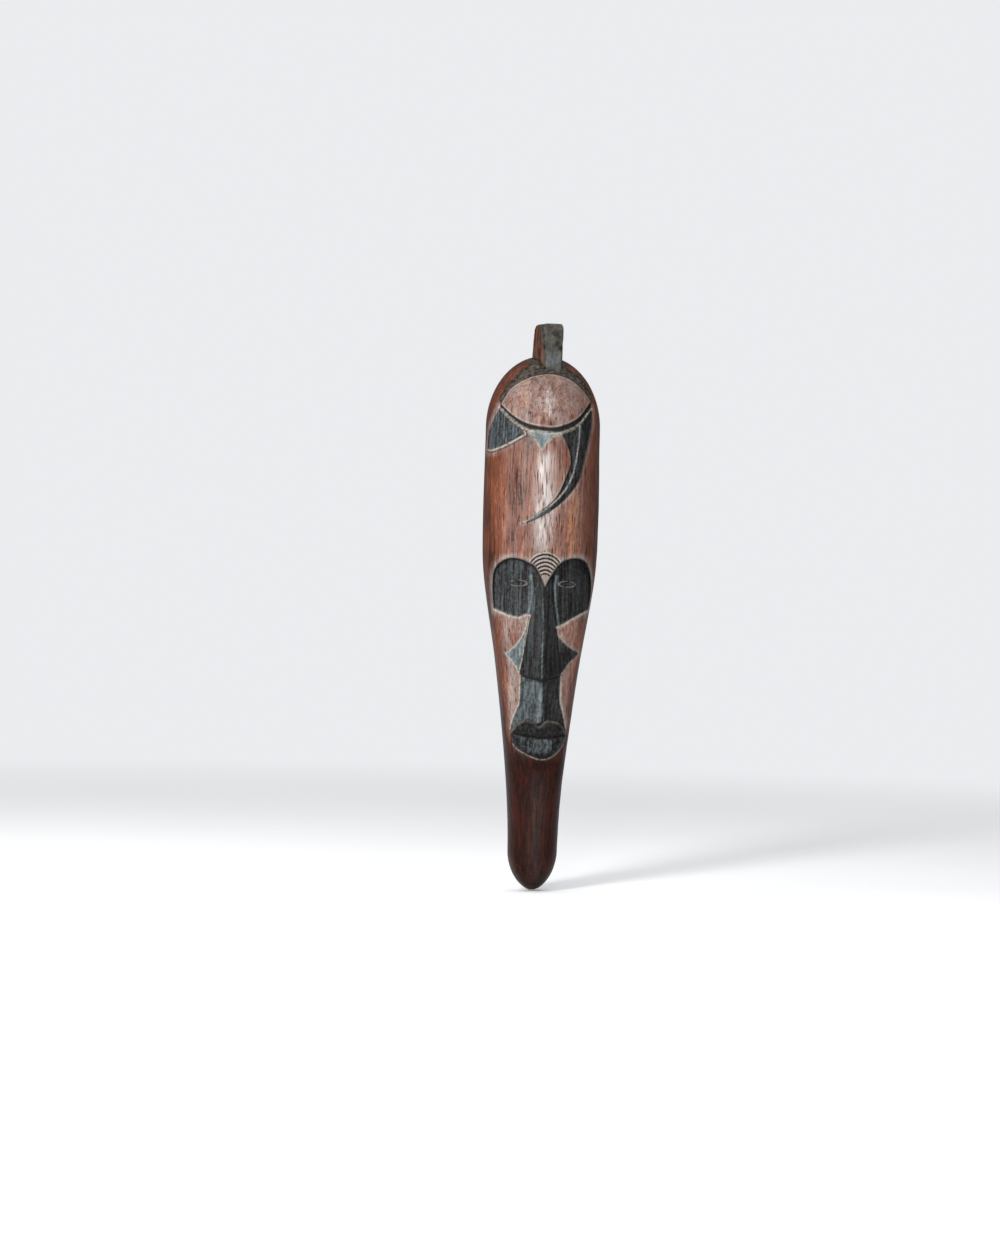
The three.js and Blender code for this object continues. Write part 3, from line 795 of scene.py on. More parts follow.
carvingLook = {"panelDepth": 17.0, "lipHeight": 11.0, "wrinkleHeight": 1.5, "sunk": 2.2, "waver": 0.45,
               "noseRidge": ((360, 114), (377, 117), (541, 111.5), (590, 113)),
               "noseFoot": ((-37, 388.5), (-33, 383), (-19, 379.5), (0, 378), (19.6, 380), (32, 383.5),
                            (36, 388.5)),
               "noseEdge": ((388, 35), (417, 30.5), (447, 27.7), (477, 24.5), (505, 20), (538, 17),
                            (570, 20)),
               "noseRoot": ((380, 95), (440, 99), (484, 103), (540, 101), (585, 99)),
               "noseWall": 2.4, "noseUnder": 7.0, "noseBlend": 2.4,
               "lipTop": ((-48, 283), (-40, 294), (-25, 304), (-13, 303), (2, 295), (13, 303), (31, 302),
                          (43, 294), (50, 283)),
               "mouth": ((-48, 281.5), (-24, 277), (1, 273), (25, 274), (50, 280.5)),
               "lipFoot": ((-48, 280), (-44, 264), (-34, 252), (-12, 241), (6, 236), (24, 240), (42, 255),
                           (50, 279))}


def along(value, knots):
    place, height = zip(*knots)
    return np.interp(value, place, height)


def logNormals(flat):
    step = 0.4
    wide, z = flat.T
    z = np.clip(z, step, log["height"] - step)
    angle = wide / np.maximum(spreadAt(flat[:, 1]), 1e-6)
    across = wrap((angle + 0.004) * spreadAt(z), z) - wrap((angle - 0.004) * spreadAt(z), z)
    high, low = z + step * 0.9, z - step * 0.9
    up = wrap(angle * spreadAt(high), high) - wrap(angle * spreadAt(low), low)
    normal = np.cross(up, across)
    spine = np.stack([np.zeros(len(z)), np.full(len(z), -1.0), np.clip(z, 60, log["height"] - 110)], axis=1)
    outward = wrap(wide, flat[:, 1]) - spine
    normal *= np.sign((normal * outward).sum(axis=1, keepdims=True))
    return normal / np.maximum(np.linalg.norm(normal, axis=1, keepdims=True), 1e-9)


def wrinkleCount(x, z):
    # Which brow wrinkle a place is on, counted down from the top arc
    look = wrinkles
    up = z - look["top"]
    size = (x - look["across"]) ** 2 + up ** 2 - look["radius"] ** 2
    slope = np.maximum(2 * (look["fall"] * up + look["radius"] * look["shrink"]), 20)
    bend = look["shrink"] ** 2 - look["fall"] ** 2
    count = -size / slope
    for _ in range(4):
        count = (bend * count ** 2 - size) / slope
    return count


class Carving:
    # The sheet's points: where each lies on the log, and how far it has been carved
    def __init__(self, flat):
        self.flat = flat
        self.base = wrap(flat[:, 0], flat[:, 1])
        self.x = self.base[:, 0] * drawnHalf / log["half"]
        self.z = self.base[:, 2] * drawnHeight / log["height"]
        self.forward = self.base[:, 1]
        self.into = {name: inside(flat, ring) for name, ring in loops.items()}
        self.off = {name: fromLine(flat, line[name]) for name in strokes}
        self.side = np.abs(self.x) / np.maximum(widthAt(self.base[:, 2]), 1e-6)
        # The left half of the face, which painted light makes lighter in the dust and blue-grey layers.
        self.litLeftSide = ease(-self.x, -10, 10)
        self.panel = np.maximum(self.into["panelLeft"], self.into["panelRight"])
        self.wingCut = self.into["wing"] + 4.6
        self.rise = np.zeros(len(flat))
        self.push = np.zeros(len(flat))

    def crown(self, look):
        # Collar, lens, band, wing, horn and pendant
        x, z, into, off, rise = self.x, self.z, self.into, self.off, self.rise
        self.crestFoot = ease(z, 904, 908) * ease(x, -31, -27) * ease(-x, -36, -32)
        rise += np.interp(into["collar"], (0, 1.2, 5), (0, -1.6, -look["sunk"])) * (1 - self.crestFoot)
        rise += np.interp(into["lens"], (-1, 0, 1.2, 7, 22), (0, -0.9, 0.8, 2.2, 2.9))
        rise += np.interp(into["band"], (0, 1.1), (0, -look["sunk"]))
        rise += np.interp(into["wing"], (0, 1.1, 8), (0, -1.7, -look["sunk"]))
        wingFoot = off["wingFoot"]
        rise += 0.5 * ridgeOf(wingFoot - 1.2, 1.0) - 1.3 * ridgeOf(self.wingCut, 1.9) * (wingFoot < 9)
        toRidge = off["hornRidge"] / np.maximum(off["hornRidge"] + np.maximum(into["horn"], 0), 0.1)
        rise += np.where(into["horn"] > 0, -(0.4 + 2.6 * toRidge) * ease(into["horn"], 0, 1.2), 0)
        rise += np.interp(into["pendant"], (-1.2, 0, 1.0, 3.2, 4.2, 6), (0, -0.7, 0.9, -0.3, 0.5, 0.2))

    def browWrinkles(self, look):
        # Between the arches
        count = wrinkleCount(self.x, self.z)
        clear = ease(-self.panel, 0.8, 2.4)
        self.brow = ease(count, 0, 0.15) * ease(-count, -6.4, -6.0) * clear * ease(self.z, 541, 549)
        self.crease = np.abs(np.sin(math.pi * count))
        self.rise += self.brow * (look["wrinkleHeight"] * self.crease ** 0.7 - 0.7)

    def eyePanels(self, look):
        # Sunk to a nearly flat floor under steep arches
        x, z, panel, push = self.x, self.z, self.panel, self.push
        power = log["squareness"](self.base[:, 2] / log["height"])
        roundOff = (1 - np.minimum(self.side, 1) ** power) ** (1 / power)
        deep = look["panelDepth"] * np.interp(z, (466, 486, 586), (0.14, 0.18, 1.0)) * roundOff
        push -= deep * ease(panel, 0, 2.6)
        push -= 0.7 * ease(panel, 0, 1.0)
        lid = np.hypot((np.abs(x) - eyeLook["across"]) / eyeLook["half"],
                       (z - eyeLook["up"]) / eyeLook["tall"])
        push += 1.5 * ridgeOf(lid - 0.9, 0.16) - 0.9 * (1 - ease(lid, 0.2, 0.7))
        self.lid = lid

    def nose(self, look):
        # Two facets from a ridge, undercut at the foot
        x, z = self.x, self.z
        edge = along(z, look["noseEdge"])
        ridge = along(z, look["noseRidge"])
        beside = np.sqrt((x - 1) ** 2 + 2.0 ** 2) - 2.0
        nose = ridge - (ridge - along(z, look["noseRoot"])) * (beside / edge) ** 1.05
        beyond = np.abs(x - 1) - edge + 1
        nose -= look["noseWall"] * (beyond + np.sqrt(beyond ** 2 + 2.0 ** 2)) / 2
        under = along(x, look["noseFoot"]) - z
        nose -= look["noseUnder"] * (under + np.sqrt(under ** 2 + 1.4 ** 2)) / 2
        face = self.forward + self.push
        joined = (face + nose + np.sqrt((face - nose) ** 2 + look["noseBlend"] ** 2)) / 2
        near = (np.abs(x - 1) < edge + 9) & (z > 352) & (z < 592) & ((self.panel > -0.5) | (z < 500))
        self.push = np.where(near & (nose > face - 6), joined - self.forward, self.push)
        self.onNose = ease(nose - face, -0.6, 0.8) * near
        self.besideNose = np.abs(x - 1) - edge
        self.underNose = under

    def cheeks(self):
        # Raised corners beside the nose, and the field above the lips
        x, z, field, rise = self.x, self.z, self.into["philtrum"], self.rise
        for name in ("diamondLeft", "diamondRight"):
            corner = np.interp(self.into[name], (-1.4, 0, 1.0, 2.6, 3.6, 5), (0, -0.6, 1.7, 1.5, 0.7, 1.6))
            rise += corner * (1 - self.onNose)
        rise += np.interp(field, (0, 1.4, 6), (0, -1.3, -2.0)) * (1 - self.onNose)
        self.ridgeDown = ease(z, 292, 304) * ease(-z, -378, -366)
        rise += 3.2 * ridgeOf(x - 2.5, 10) * self.ridgeDown * ease(field, 0, 5)
        rise -= 2.2 * ridgeOf(np.abs(x - 1) - 20, 9) * self.ridgeDown * ease(field, 0, 6)

    def lips(self, look):
        x, z, lips = self.x, self.z, self.into["lips"]
        top, mouth, low = (along(x, look[name]) for name in ("lipTop", "mouth", "lipFoot"))
        upShare = np.clip((z - mouth) / np.maximum(top - mouth, 1), 0, 1)
        downShare = np.clip((mouth - z) / np.maximum(mouth - low, 1), 0, 1)
        corner = np.clip(1 - (x / 52) ** 2, 0, 1) ** 0.35
        upper = np.interp(upShare, (0, 0.1, 0.55, 0.9, 1), (0.15, 0.40, 0.82, 1.0, 0.85))
        lower = np.interp(downShare, (0, 0.10, 0.4, 0.8, 1), (0.15, 0.66, 1.0, 0.80, 0.5))
        self.push += look["lipHeight"] * corner * ease(lips, 0, 2.2) * np.where(z > mouth, upper, lower)
        self.rise -= 1.2 * ridgeOf(lips + 2.2, 2.0) * (z < 285) * (np.abs(x) < 56)

    def handWork(self, look):
        # The carver's hand: a slow waver, small dents and fine chisel marks
        into, rise = self.into, self.rise
        wave = np.array([noise.noise(Vector((a * 0.022, b * 0.022, c * 0.016))) for a, b, c in self.base])
        dents = np.array([noise.noise(Vector((a * 0.09, b * 0.09 + 40, c * 0.045))) for a, b, c in self.base])
        chisel = np.array([noise.noise(Vector((a * 0.42, b * 0.3, c * 0.035 + 9))) for a, b, c in self.base])
        stained = np.maximum.reduce([self.panel, into["wing"], into["horn"], into["collar"],
                                     into["philtrum"]])
        rise += look["waver"] * wave + 0.22 * dents
        rise += 0.3 * chisel * np.maximum(ease(stained, 1, 3), 0.8 * self.onNose)
        rise += 0.10 * chisel
        self.wave = wave

    def blackStain(self, hard):
        worn = 0.42 * ridgeOf(np.hypot((self.x + 76) / 11, (self.z - 553) / 19), 1.0)
        return np.maximum.reduce([hard["panelLeft"] * (1 - worn), hard["panelRight"], hard["wing"],
                                  hard["horn"], hard["band"], hard["lips"], hard["philtrum"],
                                  hard["diamondRight"], hard["diamondLeft"], hard["pendant"],
                                  self.onNose * (self.z < 586),
                                  self.brow * (1 - self.crease ** 2) * 0.95])

    def blueRubAndSheenOf(self, hard):
        # Blue-grey rubbed coat on the stained figures, mixed with painted light: the figures and facets on
        # the left are painted lighter, and painted highlights run along the nose ridge, the horn ridge and
        # its lower end, the philtrum ridge, the lower lip and the fillets beside the nose.
        x, z, panel, onNose, litLeftSide = self.x, self.z, self.panel, self.onNose, self.litLeftSide
        figures = np.maximum.reduce([
            hard["diamondLeft"] * 0.80, hard["pendant"] * 1.1, hard["panelLeft"] * 0.25,
            hard["panelRight"] * 0.08, hard["philtrum"] * (0.04 + 0.50 * litLeftSide),
            hard["philtrum"] * 0.9 * ridgeOf(x, 7) * self.ridgeDown, hard["wing"] * 0.44,
            hard["horn"] * (0.12 + 0.6 * ridgeOf(self.off["hornRidge"], 2.2)),
            hard["lowerLip"] * (0.14 + 0.34 * ridgeOf(x - 2, 30)) * ease(z, 240, 256),
            hard["diamondRight"] * 0.12, hard["horn"] * 0.75 * ease(-z, -690, -655)])
        return np.maximum.reduce([
            figures * (1 - onNose), onNose * litLeftSide * 0.12,
            onNose * 0.7 * ridgeOf(x - 1, 1.8) * (z < 520),
            0.75 * ridgeOf(self.besideNose - 3, 3.4) * (panel > 1) * (z < 560),
            (0.16 + 0.22 * litLeftSide) * ridgeOf(self.besideNose - 4, 15) * (panel > 1)])

    def dust(self, hard):
        x, z, side, into = self.x, self.z, self.side, self.into

        def dustBy(inward, reach):
            # Thick just outside the edge of a stained figure, thinning out over its reach
            return ridgeOf(np.maximum(-inward, 0), reach)

        # Painted light: the cheeks, and the lens below, get more dust on the left half so that side reads
        # lighter.
        cheeks = ease(-z, -497, -480) * ease(z, 262, 290) * (0.42 + 0.24 * self.litLeftSide)
        cheeks *= ease(-side, -0.93, -0.7)
        # Partly dust and partly a painted highlight down the middle of the forehead.
        forehead = 0.95 * ridgeOf(x + 3, 21) * ease(z, 585, 610) * ease(-z, -800, -760)
        aroundArch = 0.95 * dustBy(self.panel, 10) * ease(z, 460, 500)
        underLens = 0.55 * dustBy(np.maximum(into["pendant"], into["band"]), 16) * ease(-side, -0.8, -0.4)
        aroundMouth = 0.8 * dustBy(np.maximum(into["philtrum"], into["lips"]), 8) * ease(z, 285, 300)
        aroundNose = dustBy(-self.besideNose, 9) * ease(z, 392, 402) * ease(-z, -500, -480)
        betweenArches = ridgeOf(np.hypot(x - 2, (z - 556) * 0.6), 11) * ease(-self.panel, 0, 2)
        # The last term makes the front of the face paler than its sides, which is painted light.
        dust = np.maximum.reduce([
            hard["lens"] * (0.50 + 0.06 * self.litLeftSide), cheeks, forehead, aroundArch, underLens,
            0.75 * dustBy(into["horn"], 6.5), 0.6 * dustBy(into["wing"] + 4, 7), aroundMouth,
            0.9 * dustBy(into["diamondLeft"], 6), self.brow, betweenArches, aroundNose,
            0.7 * dustBy(into["diamondRight"], 6), 0.30 * ease(-side, -0.9, -0.5)])
        dust *= ease(z, 225, 285) * ease(-z, -925, -905)
        return np.maximum(dust, 0.07 * ridgeOf(x - 4, 16) * ease(-z, -225, -190))

    def chinDark(self, hard):
        z, side = self.z, self.side
        # Dark red-brown of the chin and of the band above the lens; the same dark colour towards the sides of
        # the face is painted shade.
        chin = 1 - ease(z, 225, 300) * ease(-side, -0.99, -0.8)
        chin = np.maximum(chin * ease(-z, -470, -290), 0.6 * ease(side, 0.80, 0.99))
        return np.maximum(chin, 0.5 * ease(z, 862, 905) * (1 - hard["lens"]))

    def shadeInCuts(self):
        # Painted shade: dark lines in the carved cuts and along the outlines, under the arches and the foot
        # of the nose, and in the valleys of the brow wrinkles.
        into, off, onNose = self.into, self.off, self.onNose
        return np.maximum.reduce([
            ridgeOf(into["lens"], 1.8), ridgeOf(self.panel, 1.9) * (self.z > 500),
            ridgeOf(into["lips"], 1.8), ridgeOf(off["mouth"], 1.8),
            ridgeOf(self.wingCut, 1.7) * (off["wingFoot"] < 9), ridgeOf(off["noseFoot"], 1.5) * 0.6,
            0.8 * ridgeOf(into["collar"], 1.2), 0.7 * ridgeOf(into["philtrum"] + 0.6, 1.0),
            ease(self.underNose, 1.5, 4) * onNose, 0.9 * ridgeOf(into["horn"], 1.0),
            0.7 * ridgeOf(into["pendant"] - 3.2, 0.8), ridgeOf(into["diamondLeft"] - 3.4, 0.8) * 0.6,
            self.brow * ridgeOf(self.crease, 0.45)])

    def paleEdges(self):
        x, z, into, off, offNose = self.x, self.z, self.into, self.off, 1 - self.onNose
        wing = 0.9 * ridgeOf(into["wing"] + 1.4, 1.3) * (off["wingFoot"] < 5) * ease(-self.side, -1, -0.93)
        field = 0.85 * ridgeOf(into["philtrum"] + 1.0, 1.2) * (z < 384)
        field *= 1 - 0.6 * ease(into["lips"], -5, -2)
        return np.maximum.reduce([
            0.9 * ridgeOf(off["bandFoot"] - 1.2, 1.1), wing, ridgeOf(into["pendant"] - 0.3, 1.5),
            0.9 * ridgeOf(off["panelFootLeft"] - 0.8, 1.3) * (x < -21),
            0.8 * ridgeOf(off["panelFootRight"] - 0.8, 1.3) * (x > 24),
            0.75 * ridgeOf(off["hornRidge"], 1.2),
            ridgeOf(into["diamondLeft"] - 0.6, 1.3) * offNose * (x < -24 - 0.06 * (480 - z)),
            0.75 * ridgeOf(into["diamondRight"] - 0.6, 1.2) * offNose, field,
            0.6 * ridgeOf(into["lips"] + 0.6, 1.2) * (z < 262), 0.6 * ridgeOf(into["lens"] - 2.2, 1.2),
            0.4 * ridgeOf(self.lid - 0.9, 0.1), 0.5 * self.brow * ease(self.crease, 0.7, 1)])

    def highlightStreaks(self):
        # Painted highlight: a broken vertical streak down the middle of the forehead, and a softer one on the
        # lens.
        x, z = self.x, self.z
        forehead = 0.85 * ridgeOf(x + 3 + 9 * self.wave, 13) * ease(z, 596, 650) * ease(-z, -800, -740)
        return np.maximum(forehead, 0.5 * ridgeOf(x - 1, 10) * ease(z, 822, 842) * ease(-z, -895, -865))

    def colours(self):
        hard = {name: ease(distance, -0.5, 0.7) for name, distance in self.into.items()}
        black = self.blackStain(hard)
        return {"black": black, "blue": self.blueRubAndSheenOf(hard), "dust": self.dust(hard),
                "olive": np.maximum(hard["collar"], self.crestFoot * (1 - hard["lens"])),
                "chin": self.chinDark(hard), "groove": self.shadeInCuts(), "pale": self.paleEdges(),
                "shine": self.highlightStreaks() * (1 - black)}

    def points(self):
        # The carved places, with the back edge rounded and the back kept flat
        rim, forward = log["rim"], self.forward
        self.rise *= ease(forward, 1, 9)
        normal = logNormals(self.flat)
        point = self.base + normal * self.rise[:, None]
        point[:, 1] += self.push
        short = np.clip(rim - forward, 0, rim)
        inset = rim - np.sqrt(rim ** 2 - short ** 2)
        point[:, 0] -= normal[:, 0] * inset
        point[:, 2] -= normal[:, 2] * inset
        point[:, 1] = np.where(forward < 1e-4, 0, np.maximum(point[:, 1], 0))
        return point


def carve(flat, look):
    carving = Carving(flat)
    carving.crown(look)
    carving.browWrinkles(look)
    carving.eyePanels(look)
    carving.nose(look)
    carving.cheeks()
    carving.lips(look)
    carving.handWork(look)
    return carving.points(), carving.colours()


def toFrame(point):
    # From x, forward, height above the chin to the frame, in metres
    return np.stack([point[:, 0], -point[:, 1], point[:, 2] + chinZ], axis=1) * mm


# The hollow behind the face, with its gouge marks

hollowLook = {"foot": 205.0, "top": 836.0, "end": 70.0, "rim": 20.0, "wall": 25.0, "squareness": 2.4,
              "gougeDepth": 1.7, "gougeWidth": 15.0, "gougeLength": 38.0, "rows": 150,
              "columns": 64, "seed": 7}


def socketId(tree, name):
    sockets = [item for item in tree.interface.items_tree if item.in_out == "INPUT"]
    return next(item.identifier for item in sockets if item.name == name)


def newTree(name, **sizes):
    tree = bpy.data.node_groups.new(name, "GeometryNodeTree")
    tree.interface.new_socket("Geometry", in_out="INPUT", socket_type="NodeSocketGeometry")
    for label, value in sizes.items():
        kind = "NodeSocketInt" if isinstance(value, int) else "NodeSocketFloat"
        tree.interface.new_socket(label, in_out="INPUT", socket_type=kind).default_value = value
    tree.interface.new_socket("Geometry", in_out="OUTPUT", socket_type="NodeSocketGeometry")
    return tree, Graph(tree)


def finishTree(graph, geometry, material):
    whole = graph.node("GeometryNodeRealizeInstances", {}, {"Geometry": geometry})
    done = graph.node("GeometryNodeSetMaterial", {}, {"Geometry": whole, "Material": material})
    graph.node("NodeGroupOutput", {}, {"Geometry": done}, out=None)


def grow(piece, tree, **sizes):
    modifier = piece.modifiers.new(tree.name, "NODES")
    modifier.node_group = tree
    for label, value in sizes.items():
        modifier[socketId(tree, label)] = value
    return settle(piece)


def gougeTree(material):
    tree, graph = newTree("gougeMarks", depth=0.0015, width=0.015, length=0.04, seed=1)
    inputs = ("Geometry", "depth", "width", "length", "seed")
    group = {name: graph.node("NodeGroupInput", out=name) for name in inputs}
    place = graph.node("GeometryNodeInputPosition")
    shift = graph.node("ShaderNodeCombineXYZ", {}, {"X": group["seed"] * 3.7})
    size = graph.node("ShaderNodeCombineXYZ", {},
                      {"X": group["width"], "Y": group["width"], "Z": group["length"]})
    cells = graph.node("ShaderNodeVectorMath", {"operation": "DIVIDE"}, {0: place, 1: size})
    cells = graph.node("ShaderNodeVectorMath", {"operation": "ADD"}, {0: cells, 1: shift})
    away = graph.node("ShaderNodeTexVoronoi", {"feature": "SMOOTH_F1"},
                      {"Vector": cells, "Scale": 1.0, "Smoothness": 0.25})
    behind = graph.node("ShaderNodeSeparateXYZ", {}, {0: place}, out="Y")
    inner = graph.node("ShaderNodeMapRange", {}, {"Value": behind, "From Min": -0.004, "From Max": -0.016})
    amount = (away * away).math("MINIMUM", 1.0) * group["depth"] * inner * -1.6
    normal = graph.node("GeometryNodeInputNormal")
    offset = graph.node("ShaderNodeVectorMath", {"operation": "SCALE"}, {0: normal, "Scale": amount})
    moved = graph.node("GeometryNodeSetPosition", {}, {"Geometry": group["Geometry"], "Offset": offset})
    finishTree(graph, moved, material)
    return tree


def hollowCutter(look, materials):
    unit = log["height"] / drawnHeight
    foot, top, end = look["foot"] * unit, look["top"] * unit, look["end"] * unit
    share = (1 - np.cos(np.linspace(0, math.pi, look["rows"]))) / 2
    share = 0.5 * share + 0.5 * np.linspace(0, 1, look["rows"])
    rings = []
    for z in foot + (top - foot) * share:
        fromEnd = min(z - foot, top - z, end) / end
        close = 0.35 + 0.65 * math.sqrt(1 - (1 - fromEnd) ** 2)
        half = (widthAt(np.array([z]))[0] - look["rim"]) * close
        front = (depthAt(np.array([z]))[0] - look["wall"]) * close
        ring = [(-half - 1.5, 9.0), (-half - 1.5, 0.4), (-half - 0.3, -1.1)]
        for turn in np.linspace(-math.pi / 2, math.pi / 2, look["columns"]):
            power = 2 / look["squareness"]
            ring.append((half * math.copysign(abs(math.sin(turn)) ** power, turn) * (1 if turn else 0),
                         -2.4 - (front - 2.4) * max(math.cos(turn), 0) ** power))
        ring += [(half + 0.3, -1.1), (half + 1.5, 0.4), (half + 1.5, 9.0)]
        rings.append([(x * mm, y * mm, (z + chinZ) * mm) for x, y in ring])
    count = len(rings[0])
    points = [p for ring in rings for p in ring]
    faces = [(r * count + i, r * count + (i + 1) % count,
              (r + 1) * count + (i + 1) % count, (r + 1) * count + i)
             for r in range(len(rings) - 1) for i in range(count)]
    faces += [tuple(range(count)), tuple(range(len(points) - count, len(points)))]
    cutter = newPiece("hollowCutter", points, faces, *materials)
    outward(cutter)
    grow(cutter, gougeTree(materials[1]), depth=look["gougeDepth"] * mm, width=look["gougeWidth"] * mm,
         length=look["gougeLength"] * mm, seed=look["seed"])
    return cutter


def asCutter(piece, slot=1):
    # Every cut face takes the raw wood, the second slot, unless it is stained as the face is
    piece.data.materials.clear()
    for material in bodyMaterials:
        piece.data.materials.append(material)
    piece.data.polygons.foreach_set("material_index", [slot] * len(piece.data.polygons))
    return piece


def rodCutter(low, high, radius, axis):
    # A round bar through the middle of a box, along one axis
    middle = (low + high) / 2
    others = [i for i in range(3) if i != axis]
    outline = [(middle[others[0]] + radius * math.cos(t), middle[others[1]] + radius * math.sin(t))
               for t in np.linspace(0, 2 * math.pi, 33)[:-1]]

    def toPoint(a, b, level):
        place = [0, 0, 0]
        place[others[0]], place[others[1]], place[axis] = a, b, level
        return place
    cutter = newPiece("rodCutter", *sweep(outline, low[axis], high[axis], toPoint))
    outward(cutter)
    return cutter


slitLook = {"halfLength": 9.0, "halfHeight": 1.5, "rise": 0.75, "front": -0.12, "level": -0.1, "back": -0.03}


def slitCutter(side):
    # The slit rises inwards from the eye's floor, so nothing shows through it
    look = slitLook
    across, up = eyeLook["across"] * log["half"] / drawnHalf, eyeLook["up"] * log["height"] / drawnHeight
    outline = [((side * across + look["halfLength"] * math.cos(t)) * mm,
                (chinZ + up + look["halfHeight"] * math.sin(t)) * mm)
               for t in np.linspace(0, 2 * math.pi, 25)[:-1]]

    def slanted(a, b, level):
        return a, level, b + (level - look["level"]) * look["rise"]
    cutter = newPiece("slitCutter", *sweep(outline, look["front"], look["back"], slanted))
    outward(cutter)
    return cutter


boreLook = {"pegRoom": 0.04, "pegPast": 30.0, "screwRadius": 1.65, "screwPast": 0.2}
pocketLook = {"side": 11.0, "above": 25.4, "below": 5.0, "behind": 0.3, "corner": 5.0}


def pocketCutter(look):
    low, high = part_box("hanger_strap")
    left, right = low.x - look["side"] * mm, high.x + look["side"] * mm
    foot, top = low.z - look["below"] * mm, high.z + look["above"] * mm
    corner = look["corner"] * mm
    outline = []
    for x, z, start in ((right - corner, foot + corner, -0.5), (right - corner, top - corner, 0),
                        (left + corner, top - corner, 0.5), (left + corner, foot + corner, 1)):
        for t in np.linspace(start, start + 0.5, 7) * math.pi:
            outline.append((x + corner * math.cos(t), z + corner * math.sin(t)))
    deep = low.y - look["behind"] * mm
    cutter = newPiece("pocketCutter", *sweep(outline, deep, 0.005, lambda a, b, level: (a, level, b)))
    outward(cutter)
    return cutter


def makeBody():
    flat, triangles, border = sheetMesh()
    point, colours = carve(flat, carvingLook)
    placed = toFrame(point)
    rows = (len(border) - 2) // 2
    right, left = border[1:rows + 1], border[rows + 2:][::-1]
    back = [(left[i], left[i + 1], right[i + 1], right[i]) for i in range(rows - 1)]
    back += [(border[0], left[0], right[0]), (border[rows + 1], right[-1], left[-1])]
    body = newPiece("carvedMask", placed, list(map(tuple, triangles)) + back, *bodyMaterials)
    indexes = [0] * len(triangles) + [1] * len(back)
    body.data.polygons.foreach_set("material_index", indexes)
    print("sheet:", len(placed), "points")
    subtract(body, asCutter(hollowCutter(hollowLook, bodyMaterials)))
    for side in (-1, 1):
        subtract(body, asCutter(slitCutter(side), 0))
    subtract(body, asCutter(pocketCutter(pocketLook)))
    for peg in pegNodes:
        low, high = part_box(peg)
        subtract(body, asCutter(rodCutter(low, high, (high.x - low.x) / 2 + boreLook["pegRoom"] * mm, 2)))
    for screw in screwNodes:
        low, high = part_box(screw)
        low = low - Vector((0, boreLook["screwPast"] * mm, 0))
        subtract(body, asCutter(rodCutter(low, high, boreLook["screwRadius"] * mm, 1)))
    tree = KDTree(len(placed))
    for i, p in enumerate(placed):
        tree.insert(p, i)
    tree.balance()
    nearest = np.array([tree.find(v.co)[1] for v in body.data.vertices])
    for name, values in colours.items():
        paintPoints(body.data, name, values[nearest])
    crisp(body, 38)
    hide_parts("mask_body")
    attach(body, "mask")
    print("mask:", len(body.data.vertices), "points", len(body.data.polygons), "faces")


# Crest

crestLook = {"voxel": 1.5, "smoothing": 6, "waver": 0.7, "dents": 0.3,
             "stainFrom": -2.0, "stainSpread": 12.0}


def makeCrest(look):
    crest = nodeCopy("crest", "crest_block", newMaterial("crestWood", crestPaint))
    remesh = crest.modifiers.new("even", "REMESH")
    remesh.mode = "VOXEL"
    remesh.voxel_size = look["voxel"] * mm
    relax = crest.modifiers.new("worn", "SMOOTH")
    relax.factor = 0.5
    relax.iterations = look["smoothing"]
    settle(crest)
    low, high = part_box("crest_block")
    tall = high.z - low.z
    normals = [v.normal.copy() for v in crest.data.vertices]
    front, blue, groove, pale = [], [], [], []
    for vertex, normal in zip(crest.data.vertices, normals):
        place = vertex.co.copy()
        up = (place.z - low.z) / tall
        wave = noise.noise(place / mm * 0.05 + Vector((3, 1, 7)))
        dent = noise.noise(place / mm * 0.19)
        size = (look["waver"] * wave + look["dents"] * dent - 0.5) * mm
        vertex.co = place + normal * size * min(1, max(0, (place.z - low.z) / (14 * mm)))
        facing = max(0.0, -normal.y)
        beyond = (place.x / mm - look["stainFrom"] + look["stainSpread"] * up) / 3
        stained = min(1.0, max(0.0, beyond + 0.5)) * (normal.y < -0.1)
        front.append(min(1.0, max(facing * 1.3 - 0.1, 0.7 * (normal.z > 0.8) + 0.1 * normal.x, stained)))
        # Painted sheen: forward-looking faces of the lower crest turn lighter blue-grey.
        blue.append(0.27 * facing * max(0.0, 1 - abs(up - 0.26) / 0.24))
        # Painted shade along the foot of the crest's front, where it meets the dome.
        groove.append(max(0.0, 1 - max(0.0, place.z - low.z) / (2.5 * mm)) * facing)
        pale.append(0.5 * max(0.0, 1 - abs(facing - 0.6) / 0.15))
    saved = {"front": front, "blue": blue, "groove": groove, "pale": pale}
    for name, values in saved.items():
        paintPoints(crest.data, name, values)
    for peg in pegNodes:
        pegLow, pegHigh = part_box(peg)
        radius = (pegHigh.x - pegLow.x) / 2 + boreLook["pegRoom"] * mm
        cutter = rodCutter(pegLow - Vector((0, 0, boreLook["pegPast"] * mm)), pegHigh, radius, 2)
        cutter.data.materials.append(crest.data.materials[0])
        subtract(crest, cutter)
    crisp(crest, 50)
    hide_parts("crest_block")
    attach(crest, "mask")
    print("crest:", len(crest.data.vertices), "points")


def finishPegs(wood):
    # The CAD pegs stay as they are, in pale turned wood
    for peg in pegNodes:
        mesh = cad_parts[peg].data
        if len(mesh.materials):
            mesh.materials[0] = wood
        else:
            mesh.materials.append(wood)


# Hanger: strap, ring and screws

hangerLook = {"strapEdge": 0.22, "wire": 1.5, "ringHalf": 11.0, "corner": 3.0, "wireSides": 20,
              "headRadius": 3.3, "headHeight": 1.8, "shank": 1.6, "length": 16.0, "tip": 4.0,
              "slotWidth": 0.9, "slotDepth": 0.8, "turn": 0.5, "seed": 3}


